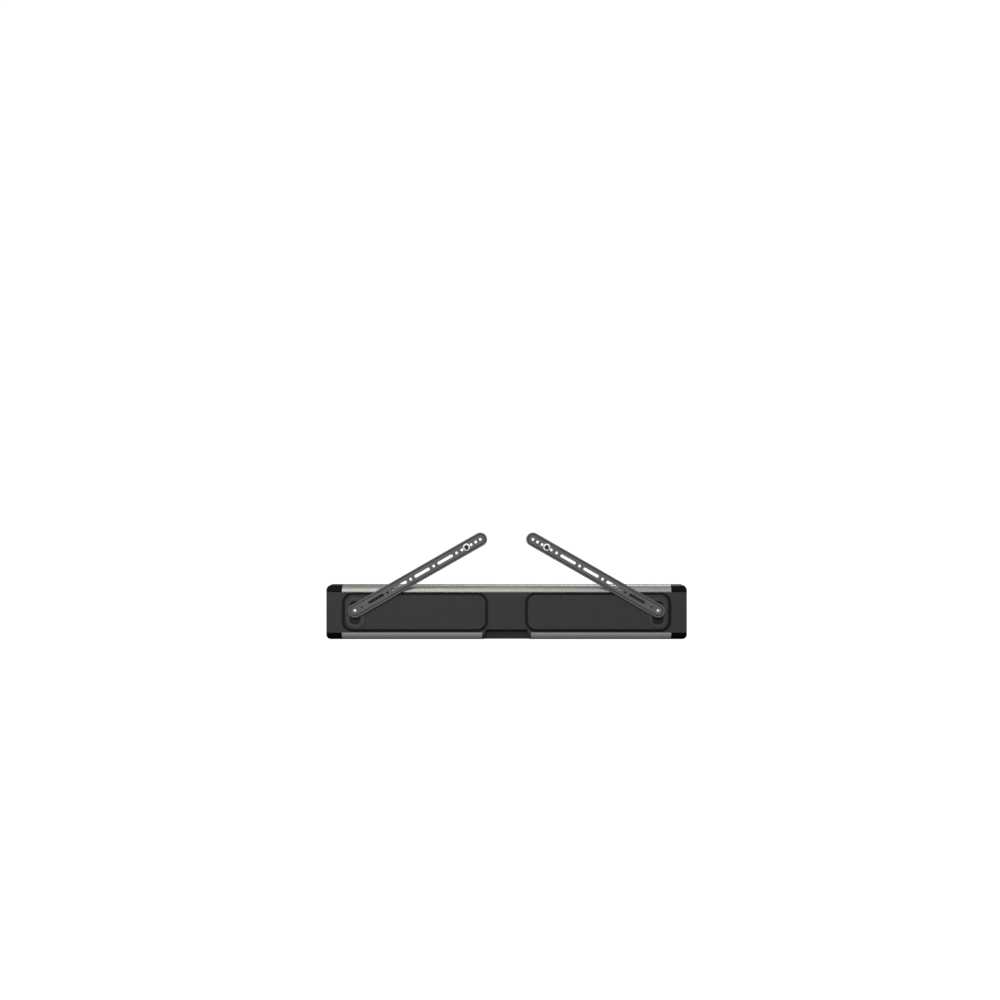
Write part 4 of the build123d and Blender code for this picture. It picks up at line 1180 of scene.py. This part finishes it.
@dataclass(frozen=True)
class NetworkContacts:
    """The gold contact springs inside the two network jacks."""

    count: int = 8
    pitch: float = 1.02 * MM
    wire: float = 0.35 * MM
    jack_pitch: float = 20.0 * MM
    wall: float = 1.6 * MM
    mouth: float = 1.5 * MM  # from the jacks' underside up to the springs
    root: float = 2.2 * MM  # from the springs up to the jacks' top

    def build(self) -> None:
        """Makes the springs of both jacks as one piece."""
        low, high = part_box("ethernet_jacks")
        across = (low.x + high.x) / 2
        springs: list[Shape] = []
        for jack in (-1, 1):
            for index in range(self.count):
                x = across + jack * self.jack_pitch / 2 + (index - (self.count - 1) / 2) * self.pitch
                springs.append(self._spring(x, low, high))
        Piece("ethernet_contacts", merged(springs), "enclosure", Finishes.GOLD, "zinc_steel").place()

    def _spring(self, x: float, low: Vector, high: Vector) -> Shape:
        """One spring, lying along the socket's front wall from its mouth inwards."""
        start = Vector((x - self.wire / 2, low.y + self.wall, low.z + self.mouth))
        end = Vector((x + self.wire / 2, low.y + self.wall + self.wire, high.z - self.root))
        return rounded_box(start, end, self.wire / 4)


@dataclass(frozen=True)
class Dressing:
    """Gives every node of the frame that stays in view its own finish."""

    nodes: dict[str, bpy.types.Object]

    def dress(self) -> None:
        """Puts the finishes on the nodes' material slots."""
        for name, node in sorted(self.nodes.items()):
            for slot in node.material_slots:
                known = slot.material.name.split(".")[0] if slot.material else ""
                finish = Finishes.BY_NODE.get(name) or Finishes.BY_SLOT[known]
                slot.material = finish.material()
            LOG.info("dressed %s", name)


# ---------------------------------------------------------------- studio


@dataclass(frozen=True)
class SoftBox:
    """A large soft lamp that looks at a point."""

    name: str
    at: tuple[float, float, float]
    aim: tuple[float, float, float]
    size: tuple[float, float]
    power: float

    def build(self) -> None:
        """Makes the lamp."""
        lamp = bpy.data.lights.new(self.name, "AREA")
        lamp.shape = "RECTANGLE"
        lamp.size, lamp.size_y = self.size
        lamp.energy = self.power
        made = bpy.data.objects.new(self.name, lamp)
        made.location = self.at
        towards = Vector(self.aim) - Vector(self.at)
        made.rotation_euler = towards.to_track_quat("-Z", "Y").to_euler()
        bpy.context.scene.collection.objects.link(made)


@dataclass(frozen=True)
class Studio:
    """Camera, floor, surroundings and soft lamps."""

    distance: float = 4.2
    camera_x: float = 16.5 * MM
    camera_z: float = 280.6 * MM
    sensor: float = 36.0
    lens: float = 60.6
    surroundings: Colour = (1.0, 1.0, 1.0)
    seen_power: float = 1.05  # of the surroundings behind the bar
    light_power: float = 0.38  # of the surroundings as a light on the bar
    floor_half: float = 14.0
    lamps: tuple[SoftBox, ...] = (
        SoftBox("key_lamp", (0.8, 2.6, 2.4), (0.0, 0.0, 0.0), (2.4, 1.2), 42.0),
        SoftBox("front_lamp", (-0.9, -2.6, 2.2), (0.0, 0.0, 0.0), (2.4, 1.2), 50.0),
        SoftBox("top_lamp", (0.0, 0.2, 3.0), (0.0, 0.0, 0.0), (2.6, 1.4), 12.0),
        SoftBox("fill_lamp", (0.4, 3.6, 1.1), (0.0, 0.0, 0.1), (1.0, 0.6), 26.0),
    )

    def build(self) -> None:
        """Makes everything round the bar."""
        self._camera()
        self._surroundings()
        self._floor()
        for lamp in self.lamps:
            lamp.build()

    def _camera(self) -> None:
        """A level camera behind the bar."""
        data = bpy.data.cameras.new("studio_camera")
        data.sensor_width = self.sensor
        data.lens = self.lens
        camera = bpy.data.objects.new("studio_camera", data)
        camera.location = (self.camera_x, self.distance, self.camera_z)
        camera.rotation_euler = (math.radians(90), 0.0, math.radians(180))
        bpy.context.scene.collection.objects.link(camera)
        bpy.context.scene.camera = camera
        bpy.context.scene.view_settings.view_transform = "Standard"

    def _surroundings(self) -> None:
        """A world that is brighter to the camera than as a light."""
        world = bpy.data.worlds.new("studio")
        world.use_nodes = True
        background = world.node_tree.nodes["Background"]
        background.inputs["Color"].default_value = (*self.surroundings, 1.0)
        rays = world.node_tree.nodes.new("ShaderNodeLightPath")
        power = world.node_tree.nodes.new("ShaderNodeMath")
        power.operation = "MULTIPLY_ADD"
        power.inputs[1].default_value = self.seen_power - self.light_power
        power.inputs[2].default_value = self.light_power
        world.node_tree.links.new(rays.outputs["Is Camera Ray"], power.inputs[0])
        world.node_tree.links.new(power.outputs[0], background.inputs["Strength"])
        bpy.context.scene.world = world

    def _floor(self) -> None:
        """A wide floor under the bar."""
        level = CAD_BOX[0].z
        half = self.floor_half
        mesh = bpy.data.meshes.new("studio_floor")
        corners = [(-half, -half, level), (half, -half, level), (half, half, level), (-half, half, level)]
        mesh.from_pydata(corners, [], [(0, 1, 2, 3)])
        mesh.materials.append(Finishes.FLOOR.material())
        floor = bpy.data.objects.new("studio_floor", mesh)
        bpy.context.scene.collection.objects.link(floor)


def main() -> None:
    """Builds the studio, dresses the frame and adds the detailed pieces."""
    logging.basicConfig(level=logging.INFO, format="%(name)s: %(message)s")
    Studio().build()
    Dressing(frame["nodes"]).dress()
    for side in Side:
        Hanger(side).build()
        TelevisionFixing(side).build()
    Grille().build()
    ButtonMark("button_mute", "mute_key", Mark.MUTE).build()
    ButtonMark("button_volume_up", "volume_up_key", Mark.PLUS).build()
    ButtonMark("button_volume_down", "volume_down_key", Mark.MINUS).build()
    NetworkContacts().build()


if __name__ == "__main__":
    main()
